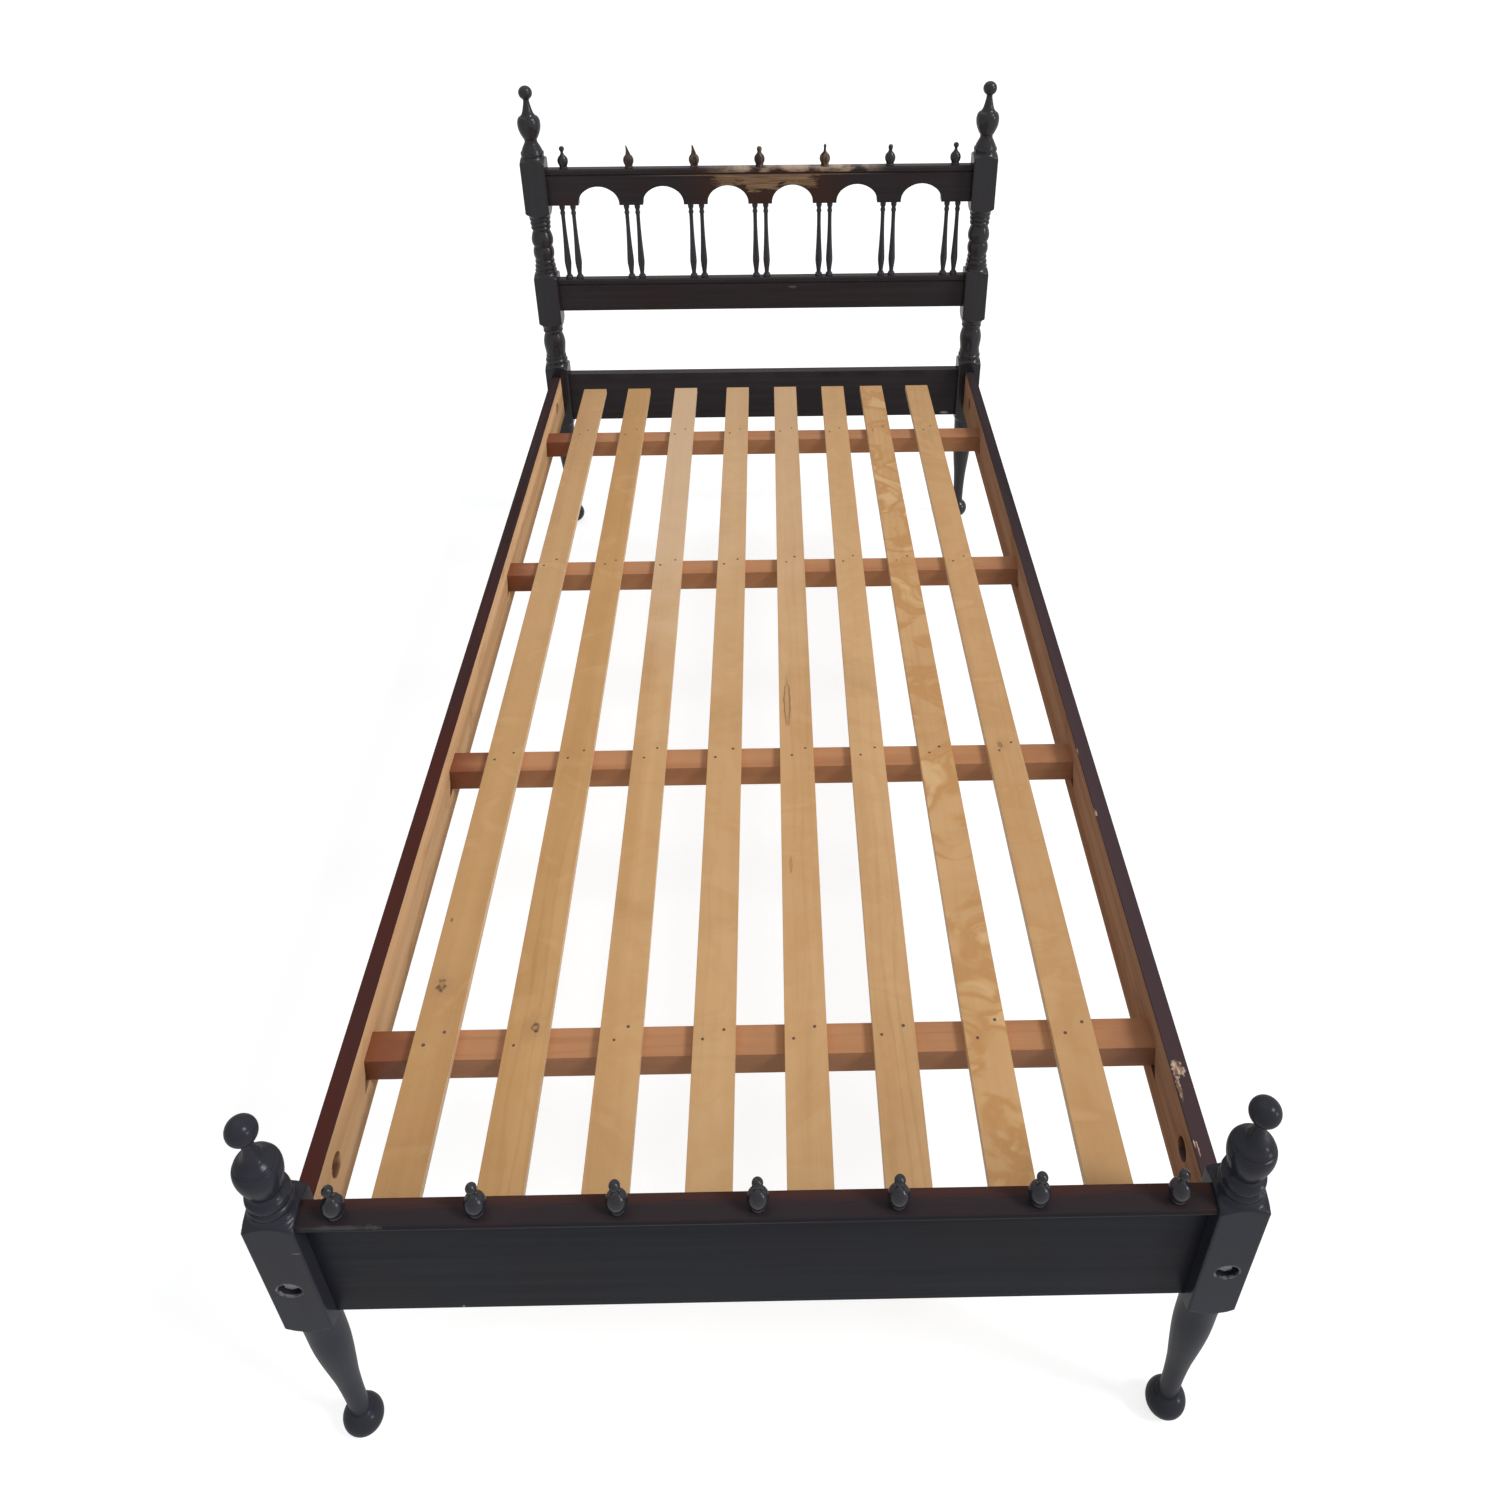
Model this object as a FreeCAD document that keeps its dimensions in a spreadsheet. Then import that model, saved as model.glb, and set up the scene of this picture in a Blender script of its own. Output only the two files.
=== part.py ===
import FreeCAD, Part
import math
import os
import Sketcher

# A single bed of turned posts and sawn rails. X runs across the bed, +Y from foot to head, +Z up.
# The origin is on the floor under the middle of the bed. Every length is in millimetres.

os.makedirs("parts", exist_ok=True)
doc = FreeCAD.newDocument("spindle_bed")
V = FreeCAD.Vector

DRIVING = {
    "axis_gap_across": 940.0,
    "axis_gap_along": 1954.0,
    "post_side": 50.0,
    "foot_post_high": 617.0,
    "head_post_high": 1040.0,
    "side_rail_low": 306.0,
    "side_rail_high": 401.0,
    "side_rail_thick": 20.0,
    "side_rail_offset": 2.0,
    "stub_thick": 10.0,
    "stub_reach": 12.0,
    "bolt_height": 362.0,
    "access_from_axis": 105.0,
    "access_across": 27.0,
    "access_deep": 17.0,
    "bore_across": 9.0,
    "counterbore_across": 24.0,
    "counterbore_deep": 10.0,
    "bolt_across": 8.0,
    "bolt_head_flats": 13.0,
    "bolt_head_thick": 5.3,
    "nut_thick": 6.5,
    "bar_wide": 40.0,
    "bar_high": 35.0,
    "bar_top": 370.0,
    "bar_socket_deep": 12.0,
    "slat_wide": 50.0,
    "slat_thick": 12.0,
    "slat_length": 1870.0,
    "slat_middle": -6.0,
    "foot_rail_low": 284.0,
    "foot_rail_high": 458.0,
    "foot_rail_thick": 15.5,
    "foot_rail_back": 8.0,
    "cap_thick": 12.0,
    "cap_wide": 29.0,
    "panel_low": 285.0,
    "panel_high": 401.0,
    "panel_thick": 20.0,
    "lower_rail_low": 557.0,
    "lower_rail_high": 630.0,
    "top_rail_low": 795.0,
    "top_rail_high": 872.0,
    "head_rail_thick": 22.0,
    "tenon_thick": 10.0,
    "tenon_reach": 18.0,
    "arch_wide": 86.0,
    "arch_rise": 40.0,
    "arch_pitch": 136.3,
    "arch_count": 6.0,
    "spindle_spacing": 23.0,
    "peg_side": 4.8,
    "peg_reach": 11.0,
    "finial_peg_reach": 8.0,
}


class Size:
    """A number together with the sheet expression that it comes from."""

    def __init__(self, number, text):
        self.number = float(number)
        self.text = text

    def joined(self, sign, other, number):
        right = other.text if isinstance(other, Size) else repr(float(other))
        return Size(number, f"({self.text} {sign} {right})")

    def __float__(self):
        return self.number

    def __add__(self, other):
        return self.joined("+", other, self.number + float(other))

    def __sub__(self, other):
        return self.joined("-", other, self.number - float(other))

    def __mul__(self, other):
        return self.joined("*", other, self.number * float(other))

    def __truediv__(self, other):
        return self.joined("/", other, self.number / float(other))

    def __neg__(self):
        return self * -1.0


sheet = doc.addObject("Spreadsheet::Sheet", "sizes")
for line, (alias, amount) in enumerate(DRIVING.items(), start=1):
    sheet.set(f"A{line}", alias)
    sheet.set(f"B{line}", str(amount))
    sheet.setAlias(f"B{line}", alias)
doc.recompute()


def size(alias):
    """One driving dimension."""
    return Size(DRIVING[alias], f"sizes.{alias}")


post_side = size("post_side")
post_half = post_side / 2
half_across = size("axis_gap_across") / 2
half_along = size("axis_gap_along") / 2
span_across = size("axis_gap_across") - post_side
span_along = size("axis_gap_along") - post_side
side_rail_axis = half_across + size("side_rail_offset")
bolt_height = size("bolt_height")
bar_low = size("bar_top") - size("bar_high")
arch_pitch = size("arch_pitch")
peg_side = size("peg_side")
head_rail_half = size("head_rail_thick") / 2
ARCHES = int(DRIVING["arch_count"])
PAIRS = [(i - ARCHES / 2) * DRIVING["arch_pitch"] for i in range(ARCHES + 1)]
CLEAR = 37.0  # a radius just outside the corners of the square posts
LEFT, RIGHT = -1, 1
nodes = []


# ---------------------------------------------------------------- sketches and features

def new_body(name):
    """An empty body for one sub-part, listed for export."""
    body = doc.addObject("PartDesign::Body", name)
    body.Label = name
    nodes.append(body)
    return body


def bind(thing, path, amount):
    """Ties a property to the sheet."""
    thing.setExpression(path, amount.text)


def put(thing, x=None, y=None, z=None):
    """Places a sub-part in the shared frame, each coordinate tied to the sheet."""
    for axis, amount in (("x", x), ("y", y), ("z", z)):
        if amount is not None:
            bind(thing, f"Placement.Base.{axis}", amount)


def sketch_on(body, role, label, offset=None):
    """A sketch on one of the body's own planes, moved along that plane's normal."""
    sketch = body.newObject("Sketcher::SketchObject", f"{body.Name}_{label}")
    plane = next(item for item in body.Origin.OriginFeatures if item.Role == role)
    sketch.AttachmentSupport = (plane, [""])
    sketch.MapMode = "FlatFace"
    if offset is not None:
        bind(sketch, "AttachmentOffset.Base.z", offset)
    return sketch


def rule(sketch, name, amount, *terms):
    """A driving constraint tied to the sheet."""
    place = sketch.addConstraint(Sketcher.Constraint(*terms, float(amount)))
    sketch.renameConstraint(place, name)
    bind(sketch, f"Constraints.{name}", amount)


def rectangle(sketch, wide, high, low=None, middle=0.0):
    """A rectangle centred on the sketch's vertical axis (or on middle), standing at low or centred."""
    half, tall = float(wide) / 2, float(high)
    base = -tall / 2 if low is None else float(low)
    left, right, top = middle - half, middle + half, base + tall
    corners = [V(left, base), V(right, base), V(right, top), V(left, top)]
    lines = [Part.LineSegment(corners[i], corners[(i + 1) % 4]) for i in range(4)]
    first = sketch.addGeometry(lines, False)[0]
    for i in range(4):
        sketch.addConstraint(Sketcher.Constraint("Coincident", first + i, 2, first + (i + 1) % 4, 1))
        sketch.addConstraint(Sketcher.Constraint("Vertical" if i % 2 else "Horizontal", first + i))
    rule(sketch, f"wide{first}", wide, "Distance", first)
    rule(sketch, f"high{first}", high, "Distance", first + 1)
    rule(sketch, f"left{first}", wide / 2 - middle, "DistanceX", first, 1, -1, 1)
    if low is None:
        rule(sketch, f"down{first}", high / 2, "DistanceY", first, 1, -1, 1)
    else:
        rule(sketch, f"low{first}", low, "DistanceY", -1, 1, first, 1)


def closed_outline(sketch, points):
    """A closed line of straight edges and arcs. A point is (across, up) or (across, up, sagitta):
    the edge that leads to it bulges by sagitta to the left of its direction."""
    edges = []
    for start, end in zip(points, points[1:] + points[:1]):
        a, b = V(start[0], start[1]), V(end[0], end[1])
        if len(end) == 2:
            edges.append(Part.LineSegment(a, b))
        else:
            along = (b - a).normalize()
            crown = (a + b) * 0.5 + V(-along.y, along.x) * end[2]
            edges.append(Part.Arc(a, crown, b))
    sketch.addGeometry(edges, False)
    count = len(edges)
    for i in range(count):
        follow = (i + 1) % count
        end_here = 2 if same_point(edges[i].EndPoint, points[follow]) else 1
        end_there = 1 if same_point(edges[follow].StartPoint, points[follow]) else 2
        sketch.addConstraint(Sketcher.Constraint("Coincident", i, end_here, follow, end_there))


def same_point(spot, point):
    return math.hypot(spot.x - point[0], spot.y - point[1]) < 1e-6


def feature(body, kind, sketch, length, symmetric=False, reverse=False):
    """A pad or a pocket of the sketch. A pad grows along the sketch's normal, a pocket cuts against it."""
    made = body.newObject(f"PartDesign::{kind}", f"{sketch.Name}_{kind.lower()}")
    made.Profile = sketch
    bind(made, "Length", length)
    made.Midplane = symmetric
    made.Reversed = reverse
    return made


def pad(body, sketch, length, symmetric=False, reverse=False):
    return feature(body, "Pad", sketch, length, symmetric, reverse)


def pocket(body, sketch, length, symmetric=False, reverse=False):
    return feature(body, "Pocket", sketch, length, symmetric, reverse)


def flats(name, outline, sides):
    """A turned form as a solid of flat facets round the Z axis, through (radius, height) points listed
    upwards. The corners stand a little outside the true radius and the flats a little inside it."""
    spread = math.cos(math.pi / sides) ** 0.5
    turn = [2 * math.pi * (i + 0.5) / sides for i in range(sides)]
    rings = [[V(r / spread * math.cos(a), r / spread * math.sin(a), z) for a in turn] for r, z in outline]
    faces = [flat_face(rings[0]), flat_face(rings[-1])]
    for lower, upper in zip(rings, rings[1:]):
        for i in range(sides):
            follow = (i + 1) % sides
            faces.append(flat_face([lower[i], lower[follow], upper[follow], upper[i]]))
    form = doc.addObject("Part::Feature", name)
    form.Shape = Part.Solid(Part.makeShell(faces))
    return form


def flat_face(corners):
    return Part.Face(Part.makePolygon(corners + corners[:1]))


def joined(kind, name, base, tool, listed=True):
    """A sub-part made of two others, as their common volume or their union."""
    made = doc.addObject(f"Part::{kind}", name)
    made.Label = name
    made.Base = base
    made.Tool = tool
    if listed:
        nodes.append(made)
    return made


# ---------------------------------------------------------------- turned outlines

POST_SIDES = 12
SMALL_SIDES = 8


def ball(centre, radius, start, end, steps):
    """Points round a ball from one angle to another, in degrees above its middle."""
    turn = [math.radians(start + (end - start) * i / steps) for i in range(steps + 1)]
    return [(radius * math.cos(a), centre + radius * math.sin(a)) for a in turn]


def square(low, high):
    """A stretch left square: the outline passes outside the corners and sweeps in to the turning."""
    return [(22.5, low - 2), (CLEAR, low + 11), (CLEAR, high - 11), (22.5, high + 2)]


def leg_outline():
    """A ball foot, a thin ankle and a leg that swells to a plain shaft and a collar."""
    foot = [(8.4, 0)] + ball(22.0, 23.0, -42.0, 59.0, 4)
    return foot + [(11.6, 62), (13.6, 120), (18.6, 172), (20.8, 212), (20.6, 247), (21.8, 251), (21.8, 258)]


def foot_finial_outline():
    """Two collar rings, an urn with a low shoulder, and a ball on a thin neck."""
    rings = [(22.6, 489), (20.6, 492), (21.8, 498), (16.6, 509)]
    urn = [(17.0, 512), (21.4, 526), (23.1, 539), (20.6, 549.5)]
    neck = [(13.6, 557.5), (8.4, 566), (5.8, 581), (5.7, 586)]
    return rings + urn + neck + ball(602.0, 15.0, -58.0, 58.0, 4) + [(1.5, DRIVING["foot_post_high"])]


def head_finial_outline():
    """A ring and dome, a waist, an urn and a ball on a thin neck."""
    rings = [(23.8, 904), (18.6, 916.5), (13.4, 929)]
    urn = [(14.6, 937), (20.6, 948), (23.4, 962), (21.8, 973.5), (9.8, 993), (6.2, 1009)]
    return rings + urn + ball(1026.0, 14.0, -58.0, 58.0, 4) + [(1.5, DRIVING["head_post_high"])]


def beads_outline():
    """Between the two head rails: rings, two beads, a waist and three more rings."""
    low_rings = [(22.2, 659), (20.2, 667), (20.6, 672), (19.4, 677)]
    beads = [(22.2, 690), (19.2, 705), (23.0, 718.5), (18.3, 741)]
    return low_rings + beads + [(20.9, 747), (21.6, 757), (22.2, 766)]


def vase_outline():
    """Below the lower head rail: a ring, a vase and a ring."""
    return [(24.2, 436), (21.8, 444), (22.0, 453), (24.0, 478), (18.9, 503), (21.8, 510)]


# ---------------------------------------------------------------- posts

def mortise(body, label, side, high, low, middle_y=0.0):
    """A blind slot for a rail's tenon, cut from the post's inner face towards the outside."""
    sketch = sketch_on(body, "YZ_Plane", label, post_half * -side)
    rectangle(sketch, tenon_thick, high, low, middle_y)
    return pocket(body, sketch, tenon_reach, reverse=side > 0)


def rail_joint(body, side, end):
    """The bolt bore, its counterbore in the outer end face, and the slot for the side rail's stub.
    end is -1 at the foot, where the outer face looks towards -Y, and 1 at the head."""
    outer = post_half * -end
    shift = float(size("side_rail_offset")) * side
    bore = sketch_on(body, "XZ_Plane", "bore", outer)
    circle(bore, size("bore_across"), shift, bolt_height)
    pocket(body, bore, post_side, reverse=end > 0)
    seat = sketch_on(body, "XZ_Plane", "counterbore", outer)
    circle(seat, size("counterbore_across"), shift, bolt_height)
    pocket(body, seat, size("counterbore_deep"), reverse=end > 0)
    slot = sketch_on(body, "XZ_Plane", "stub_slot", -outer)
    rectangle(slot, size("stub_thick"), stub_high, stub_low, shift)
    pocket(body, slot, size("stub_reach"), reverse=end < 0)


def circle(sketch, across, x, height):
    """A circle with its diameter tied to the sheet."""
    place = sketch.addGeometry(Part.Circle(V(x, float(height)), V(0, 0, 1), float(across) / 2), False)
    rule(sketch, f"across{place}", across, "Diameter", place)


stub_low = size("side_rail_low") + 20
stub_high = size("side_rail_high") - size("side_rail_low") - 40
tenon_thick = size("tenon_thick")
tenon_reach = size("tenon_reach")
foot_rail_tenon_low = size("foot_rail_low") + 16
foot_rail_tenon_high = size("foot_rail_high") - size("foot_rail_low") - 32
foot_rail_middle = size("foot_rail_back") - size("foot_rail_thick") / 2
panel_tenon_low = size("panel_low") + 12
panel_tenon_high = size("panel_high") - size("panel_low") - 24


def square_stock(name, side, end, height):
    """The planed square that a post is turned from, with its bolt bore and the side rail's slot."""
    body = doc.addObject("PartDesign::Body", f"{name}_stock")
    stock = sketch_on(body, "XY_Plane", "stock")
    rectangle(stock, post_side, post_side)
    pad(body, stock, height)
    rail_joint(body, side, end)
    return body


def post(name, side, end, body, outline):
    """The stock with its turned stretches cut down to the outline, at its corner of the bed."""
    made = joined("Common", name, body, flats(f"{name}_turning", outline, POST_SIDES))
    put(made, half_across * side, half_along * end)
    return made


def foot_post(name, side):
    body = square_stock(name, side, -1, size("foot_post_high"))
    mortise(body, "foot_rail", side, foot_rail_tenon_high, foot_rail_tenon_low, float(foot_rail_middle))
    return post(name, side, -1, body, leg_outline() + square(274, 479) + foot_finial_outline())


def head_post(name, side):
    body = square_stock(name, side, 1, size("head_post_high"))
    mortise(body, "panel", side, panel_tenon_high, panel_tenon_low)
    for label in ("lower_rail", "top_rail"):
        low, high = head_rail_tenon(label)
        mortise(body, label, side, high, low)
    below = leg_outline() + square(274, 428) + vase_outline() + square(522, 645)
    return post(name, side, 1, body, below + beads_outline() + square(773, 897) + head_finial_outline())


def head_rail_tenon(label):
    """The height of a head rail's tenon above the floor, and its own height."""
    low = size(f"{label}_low") + 8
    return low, size(f"{label}_high") - low - 16


foot_post("foot_post_left", LEFT)
foot_post("foot_post_right", RIGHT)
head_post("head_post_left", LEFT)
head_post("head_post_right", RIGHT)


# ---------------------------------------------------------------- head rails, panel and spindles

def head_rail(label):
    """A rail with a rounded, grooved top edge and a tenon at each end."""
    body = new_body(f"head_{label}")
    low, top = DRIVING[f"{label}_low"], DRIVING[f"{label}_high"]
    back = float(head_rail_half)
    front = -back
    section = sketch_on(body, "YZ_Plane", "section")
    rounded_back = [(front + 1.5, low), (back, low), (back, top - 3), (back - 3, top)]
    rounded_front = [(front + 3, top), (front, top - 3), (front, top - 10)]
    groove = [(front + 3.5, top - 13), (front + 1.5, top - 15)]
    closed_outline(section, rounded_back + rounded_front + groove)
    pad(body, section, span_across, symmetric=True)
    tenon = sketch_on(body, "YZ_Plane", "tenon")
    tenon_low, tenon_high = head_rail_tenon(label)
    rectangle(tenon, tenon_thick, tenon_high, tenon_low)
    pad(body, tenon, span_across + tenon_reach * 2, symmetric=True)
    put(body, y=half_along)
    return body


def peg_sockets(body, label, places, height, upwards):
    """Square sockets for the pegs of spindles or finials, cut up or down from a level."""
    sketch = sketch_on(body, "XY_Plane", label, height)
    half = float(peg_side) / 2
    for x in places:
        first = sketch.GeometryCount
        corners = [V(x - half, -half), V(x + half, -half), V(x + half, half), V(x - half, half)]
        sketch.addGeometry([Part.LineSegment(corners[i], corners[(i + 1) % 4]) for i in range(4)], False)
        for i in range(4):
            sketch.addConstraint(Sketcher.Constraint("Coincident", first + i, 2, first + (i + 1) % 4, 1))
    reach = size("peg_reach") if label == "spindle_sockets" else size("finial_peg_reach")
    return pocket(body, sketch, reach, reverse=upwards)


SPINDLES = [x + s * DRIVING["spindle_spacing"] / 2 for x in PAIRS for s in (LEFT, RIGHT)]

lower_rail = head_rail("lower_rail")
peg_sockets(lower_rail, "spindle_sockets", SPINDLES, size("lower_rail_high"), False)

top_rail = head_rail("top_rail")
peg_sockets(top_rail, "spindle_sockets", SPINDLES, size("top_rail_low"), True)
peg_sockets(top_rail, "finial_sockets", PAIRS, size("top_rail_high"), False)


def arcade(body):
    """The row of basket arches sawn out of the top rail's lower edge."""
    low, rise, half = DRIVING["top_rail_low"], DRIVING["arch_rise"], DRIVING["arch_wide"] / 2
    first = PAIRS[0] + DRIVING["arch_pitch"] / 2
    haunch = (0.62 * half, 0.79 * rise)
    sketch = sketch_on(body, "XZ_Plane", "arch")
    mouth = [(first - half, low - 1), (first + half, low - 1), (first + half, low + 2)]
    crown = [(first + haunch[0], low + haunch[1], -4.5),
             (first - haunch[0], low + haunch[1], -(rise - haunch[1]))]
    closed_outline(sketch, mouth + crown + [(first - half, low + 2, -4.5)])
    arch = pocket(body, sketch, size("head_rail_thick") * 2, symmetric=True)
    row = body.newObject("PartDesign::LinearPattern", "arch_row")
    row.Originals = [arch]
    row.Direction = (sketch, ["H_Axis"])
    bind(row, "Length", arch_pitch * (ARCHES - 1))
    row.Occurrences = ARCHES
    body.Tip = row
    return row


arcade(top_rail)


def head_panel():
    """The plain board between the head posts, its ends let into the posts."""
    body = new_body("head_panel")
    board = sketch_on(body, "YZ_Plane", "board")
    rectangle(board, size("panel_thick"), size("panel_high") - size("panel_low"), size("panel_low"))
    pad(body, board, span_across, symmetric=True)
    tenon = sketch_on(body, "YZ_Plane", "tenon")
    rectangle(tenon, tenon_thick, panel_tenon_high, panel_tenon_low)
    pad(body, tenon, span_across + tenon_reach * 2, symmetric=True)
    put(body, y=half_along)
    return body


head_panel()


def box_core(name, side, low, reach):
    """A square peg centred on the Z axis."""
    core = doc.addObject("Part::Box", name)
    bind(core, "Length", side)
    bind(core, "Width", side)
    bind(core, "Height", reach)
    put(core, -side / 2, -side / 2, low)
    return core


def spindles():
    """Slender turned spindles in pairs between the head rails, each on a square core that ends in pegs."""
    low, high = DRIVING["lower_rail_high"], DRIVING["top_rail_low"]
    form = flats("spindle_form", [(7.2, low), (4.0, low + 10), (6.8, low + 34), (3.8, high - 55),
                                  (3.8, high - 22), (5.6, high)], SMALL_SIDES)
    reach = size("top_rail_low") - size("lower_rail_high") + size("peg_reach") * 2
    core = box_core("spindle_core", peg_side, size("lower_rail_high") - size("peg_reach"), reach)
    for number in range(1, 2 * len(PAIRS) + 1):
        pair, second = divmod(number - 1, 2)
        made = joined("Fuse", f"spindle_{number:02d}", form, core)
        shift = size("spindle_spacing") / 2 * (2 * second - 1)
        put(made, arch_pitch * (pair - ARCHES / 2) + shift, half_along)


spindles()


# ---------------------------------------------------------------- finials on the rails

FINIAL_BODY = [(8.3, 0), (11.0, 13), (10.5, 19), (5.5, 27)]
BALL_TOP = [(3.0, 31), (3.2, 35), (5.8, 39), (4.6, 44), (1.5, 46)]
WORN_TOP = [(3.6, 33), (1.2, 46)]

finial_peg = box_core("finial_peg", peg_side, -size("finial_peg_reach"), size("finial_peg_reach") * 2)
ball_form = flats("ball_finial_form", FINIAL_BODY + BALL_TOP, SMALL_SIDES)
worn_form = flats("worn_finial_form", FINIAL_BODY + WORN_TOP, SMALL_SIDES)


def rail_finials(name, form, places, base, y):
    """Small turned finials in a row on a rail, each with a square peg below it."""
    row = doc.addObject("Part::Compound", name)
    row.Label = name
    made = []
    for place in places:
        finial = joined("Fuse", f"{name}_{place}", form, finial_peg, listed=False)
        put(finial, arch_pitch * (place - ARCHES / 2), y, base)
        made.append(finial)
    row.Links = made
    nodes.append(row)


cap_middle = size("foot_rail_back") - size("cap_wide") / 2
cap_top = size("foot_rail_high") + size("cap_thick")
rail_finials("head_finials_whole", ball_form, (0, ARCHES), size("top_rail_high"), half_along)
rail_finials("head_finials_worn", worn_form, range(1, ARCHES), size("top_rail_high"), half_along)
rail_finials("foot_finials", ball_form, range(ARCHES + 1), cap_top, cap_middle - half_along)


# ---------------------------------------------------------------- foot rail and its cap

def foot_rail():
    """The tall board between the foot posts, its ends let into the posts."""
    body = new_body("foot_rail")
    board = sketch_on(body, "YZ_Plane", "board")
    low = size("foot_rail_low")
    rectangle(board, size("foot_rail_thick"), size("foot_rail_high") - low, low)
    pad(body, board, span_across, symmetric=True)
    tenon = sketch_on(body, "YZ_Plane", "tenon")
    rectangle(tenon, tenon_thick, foot_rail_tenon_high, foot_rail_tenon_low)
    pad(body, tenon, span_across + tenon_reach * 2, symmetric=True)
    put(body, y=foot_rail_middle - half_along)
    return body


def foot_rail_cap():
    """The flat cap on the foot rail, with a rounded front edge over a shallow quirk."""
    body = new_body("foot_rail_cap")
    thick, half = DRIVING["cap_thick"], DRIVING["cap_wide"] / 2
    section = sketch_on(body, "YZ_Plane", "section")
    closed_outline(section, [(-half + 4, 0), (half, 0), (half, thick), (-half + 3, thick),
                             (-half + 3, 3, -3.0), (-half + 4, 3)])
    pad(body, section, span_across, symmetric=True)
    peg_sockets(body, "finial_sockets", PAIRS, size("cap_thick"), False)
    put(body, y=cap_middle - half_along, z=size("foot_rail_high"))
    return body


foot_rail()
foot_rail_cap()


# ---------------------------------------------------------------- side rails and crossbars

BAR_PLACES = (-733.1, -258.5, 239.2, 726.8)


def side_rail(name, side):
    """A long rail with a stub at each end, bolt bores, access holes and blind sockets for the crossbars."""
    body = new_body(name)
    thick, low, high = size("side_rail_thick"), size("side_rail_low"), size("side_rail_high")
    board = sketch_on(body, "XZ_Plane", "board")
    rectangle(board, thick, high - low, low)
    pad(body, board, span_along, symmetric=True)
    stub = sketch_on(body, "XZ_Plane", "stub")
    rectangle(stub, size("stub_thick"), stub_high, stub_low)
    pad(body, stub, span_along + size("stub_reach") * 2, symmetric=True)
    inner = thick / 2 * -side
    holes = sketch_on(body, "YZ_Plane", "access_holes", inner)
    for end in (-1, 1):
        circle(holes, size("access_across"), end * float(half_along - size("access_from_axis")), bolt_height)
    pocket(body, holes, size("access_deep"), reverse=side > 0)
    bore_deep = size("access_from_axis") - post_half + size("stub_reach")
    for label, end in (("foot_bore", -1), ("head_bore", 1)):
        bore = sketch_on(body, "XZ_Plane", label, (span_along / 2 + size("stub_reach")) * -end)
        circle(bore, size("bore_across"), 0.0, bolt_height)
        pocket(body, bore, bore_deep, reverse=end > 0)
    sockets = sketch_on(body, "YZ_Plane", "bar_sockets", inner)
    half, floor, tall = DRIVING["bar_wide"] / 2, float(bar_low), DRIVING["bar_high"]
    for place in BAR_PLACES:
        bar_socket(sockets, place, half, floor, tall)
    pocket(body, sockets, size("bar_socket_deep"), reverse=side > 0)
    put(body, side_rail_axis * side)
    return body


def bar_socket(sketch, place, half, floor, tall):
    """One crossbar's socket: the bar's own outline, run out in a hollow slope towards the foot."""
    corners = [V(place - half - 19, floor), V(place + half, floor), V(place + half, floor + tall),
               V(place - half, floor + tall)]
    corners.append(V(place - half - 6, floor + tall - 17))
    sketch.addGeometry([Part.LineSegment(a, b) for a, b in zip(corners, corners[1:] + corners[:1])], False)


side_rail("side_rail_left", LEFT)
side_rail("side_rail_right", RIGHT)


def crossbar(number, place):
    """A square-edged bar across the bed, its ends housed in the side rails."""
    body = new_body(f"crossbar_{number}")
    section = sketch_on(body, "YZ_Plane", "section")
    rectangle(section, size("bar_wide"), size("bar_high"), bar_low)
    reach = side_rail_axis * 2 - size("side_rail_thick") + size("bar_socket_deep") * 2
    pad(body, section, reach, symmetric=True)
    body.Placement.Base.y = place
    return body


for number, place in enumerate(BAR_PLACES, start=1):
    crossbar(number, place)


# ---------------------------------------------------------------- slats

# Each slat's middle across the bed at the foot end and at the head end: laid by hand, a little uneven.
SLATS = ((-382.7, -381.8), (-274.0, -282.1), (-163.0, -176.2), (-54.2, -58.8),
         (53.3, 48.6), (156.7, 156.1), (266.9, 243.2), (369.2, 347.0))


def slat(number, foot_x, head_x):
    """A thin board lying lengthwise on the crossbars."""
    body = new_body(f"slat_{number}")
    plan = sketch_on(body, "XY_Plane", "plan")
    rectangle(plan, size("slat_wide"), size("slat_length"))
    pad(body, plan, size("slat_thick"))
    turn = math.degrees(math.atan2(foot_x - head_x, 1900.0))
    middle = (foot_x + head_x) / 2
    body.Placement = FreeCAD.Placement(V(middle, 0, 0), FreeCAD.Rotation(V(0, 0, 1), turn))
    put(body, y=size("slat_middle"), z=size("bar_top"))
    return body


for number, (foot_x, head_x) in enumerate(SLATS, start=1):
    slat(number, foot_x, head_x)


# ---------------------------------------------------------------- corner bolts

def hexagon(sketch, across_flats):
    """A regular six-sided outline with corners above and below."""
    corner = across_flats / math.sqrt(3)
    turn = [math.radians(60 * i + 30) for i in range(6)]
    closed_outline(sketch, [(corner * math.cos(a), corner * math.sin(a)) for a in turn])


def corner_bolt(name, side, end):
    """A hexagon-head bolt lying along the bed, from the post's counterbore to the rail's access hole."""
    body = new_body(f"bolt_{name}")
    head = sketch_on(body, "XZ_Plane", "head")
    hexagon(head, DRIVING["bolt_head_flats"])
    pad(body, head, size("bolt_head_thick"))
    shank = sketch_on(body, "XZ_Plane", "shank")
    circle(shank, size("bolt_across"), 0.0, 0.0)
    reach = size("access_from_axis") + post_half - size("counterbore_deep")
    pad(body, shank, reach, reverse=True)
    place_hardware(body, side, end, post_half - size("counterbore_deep"))
    return body


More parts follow.
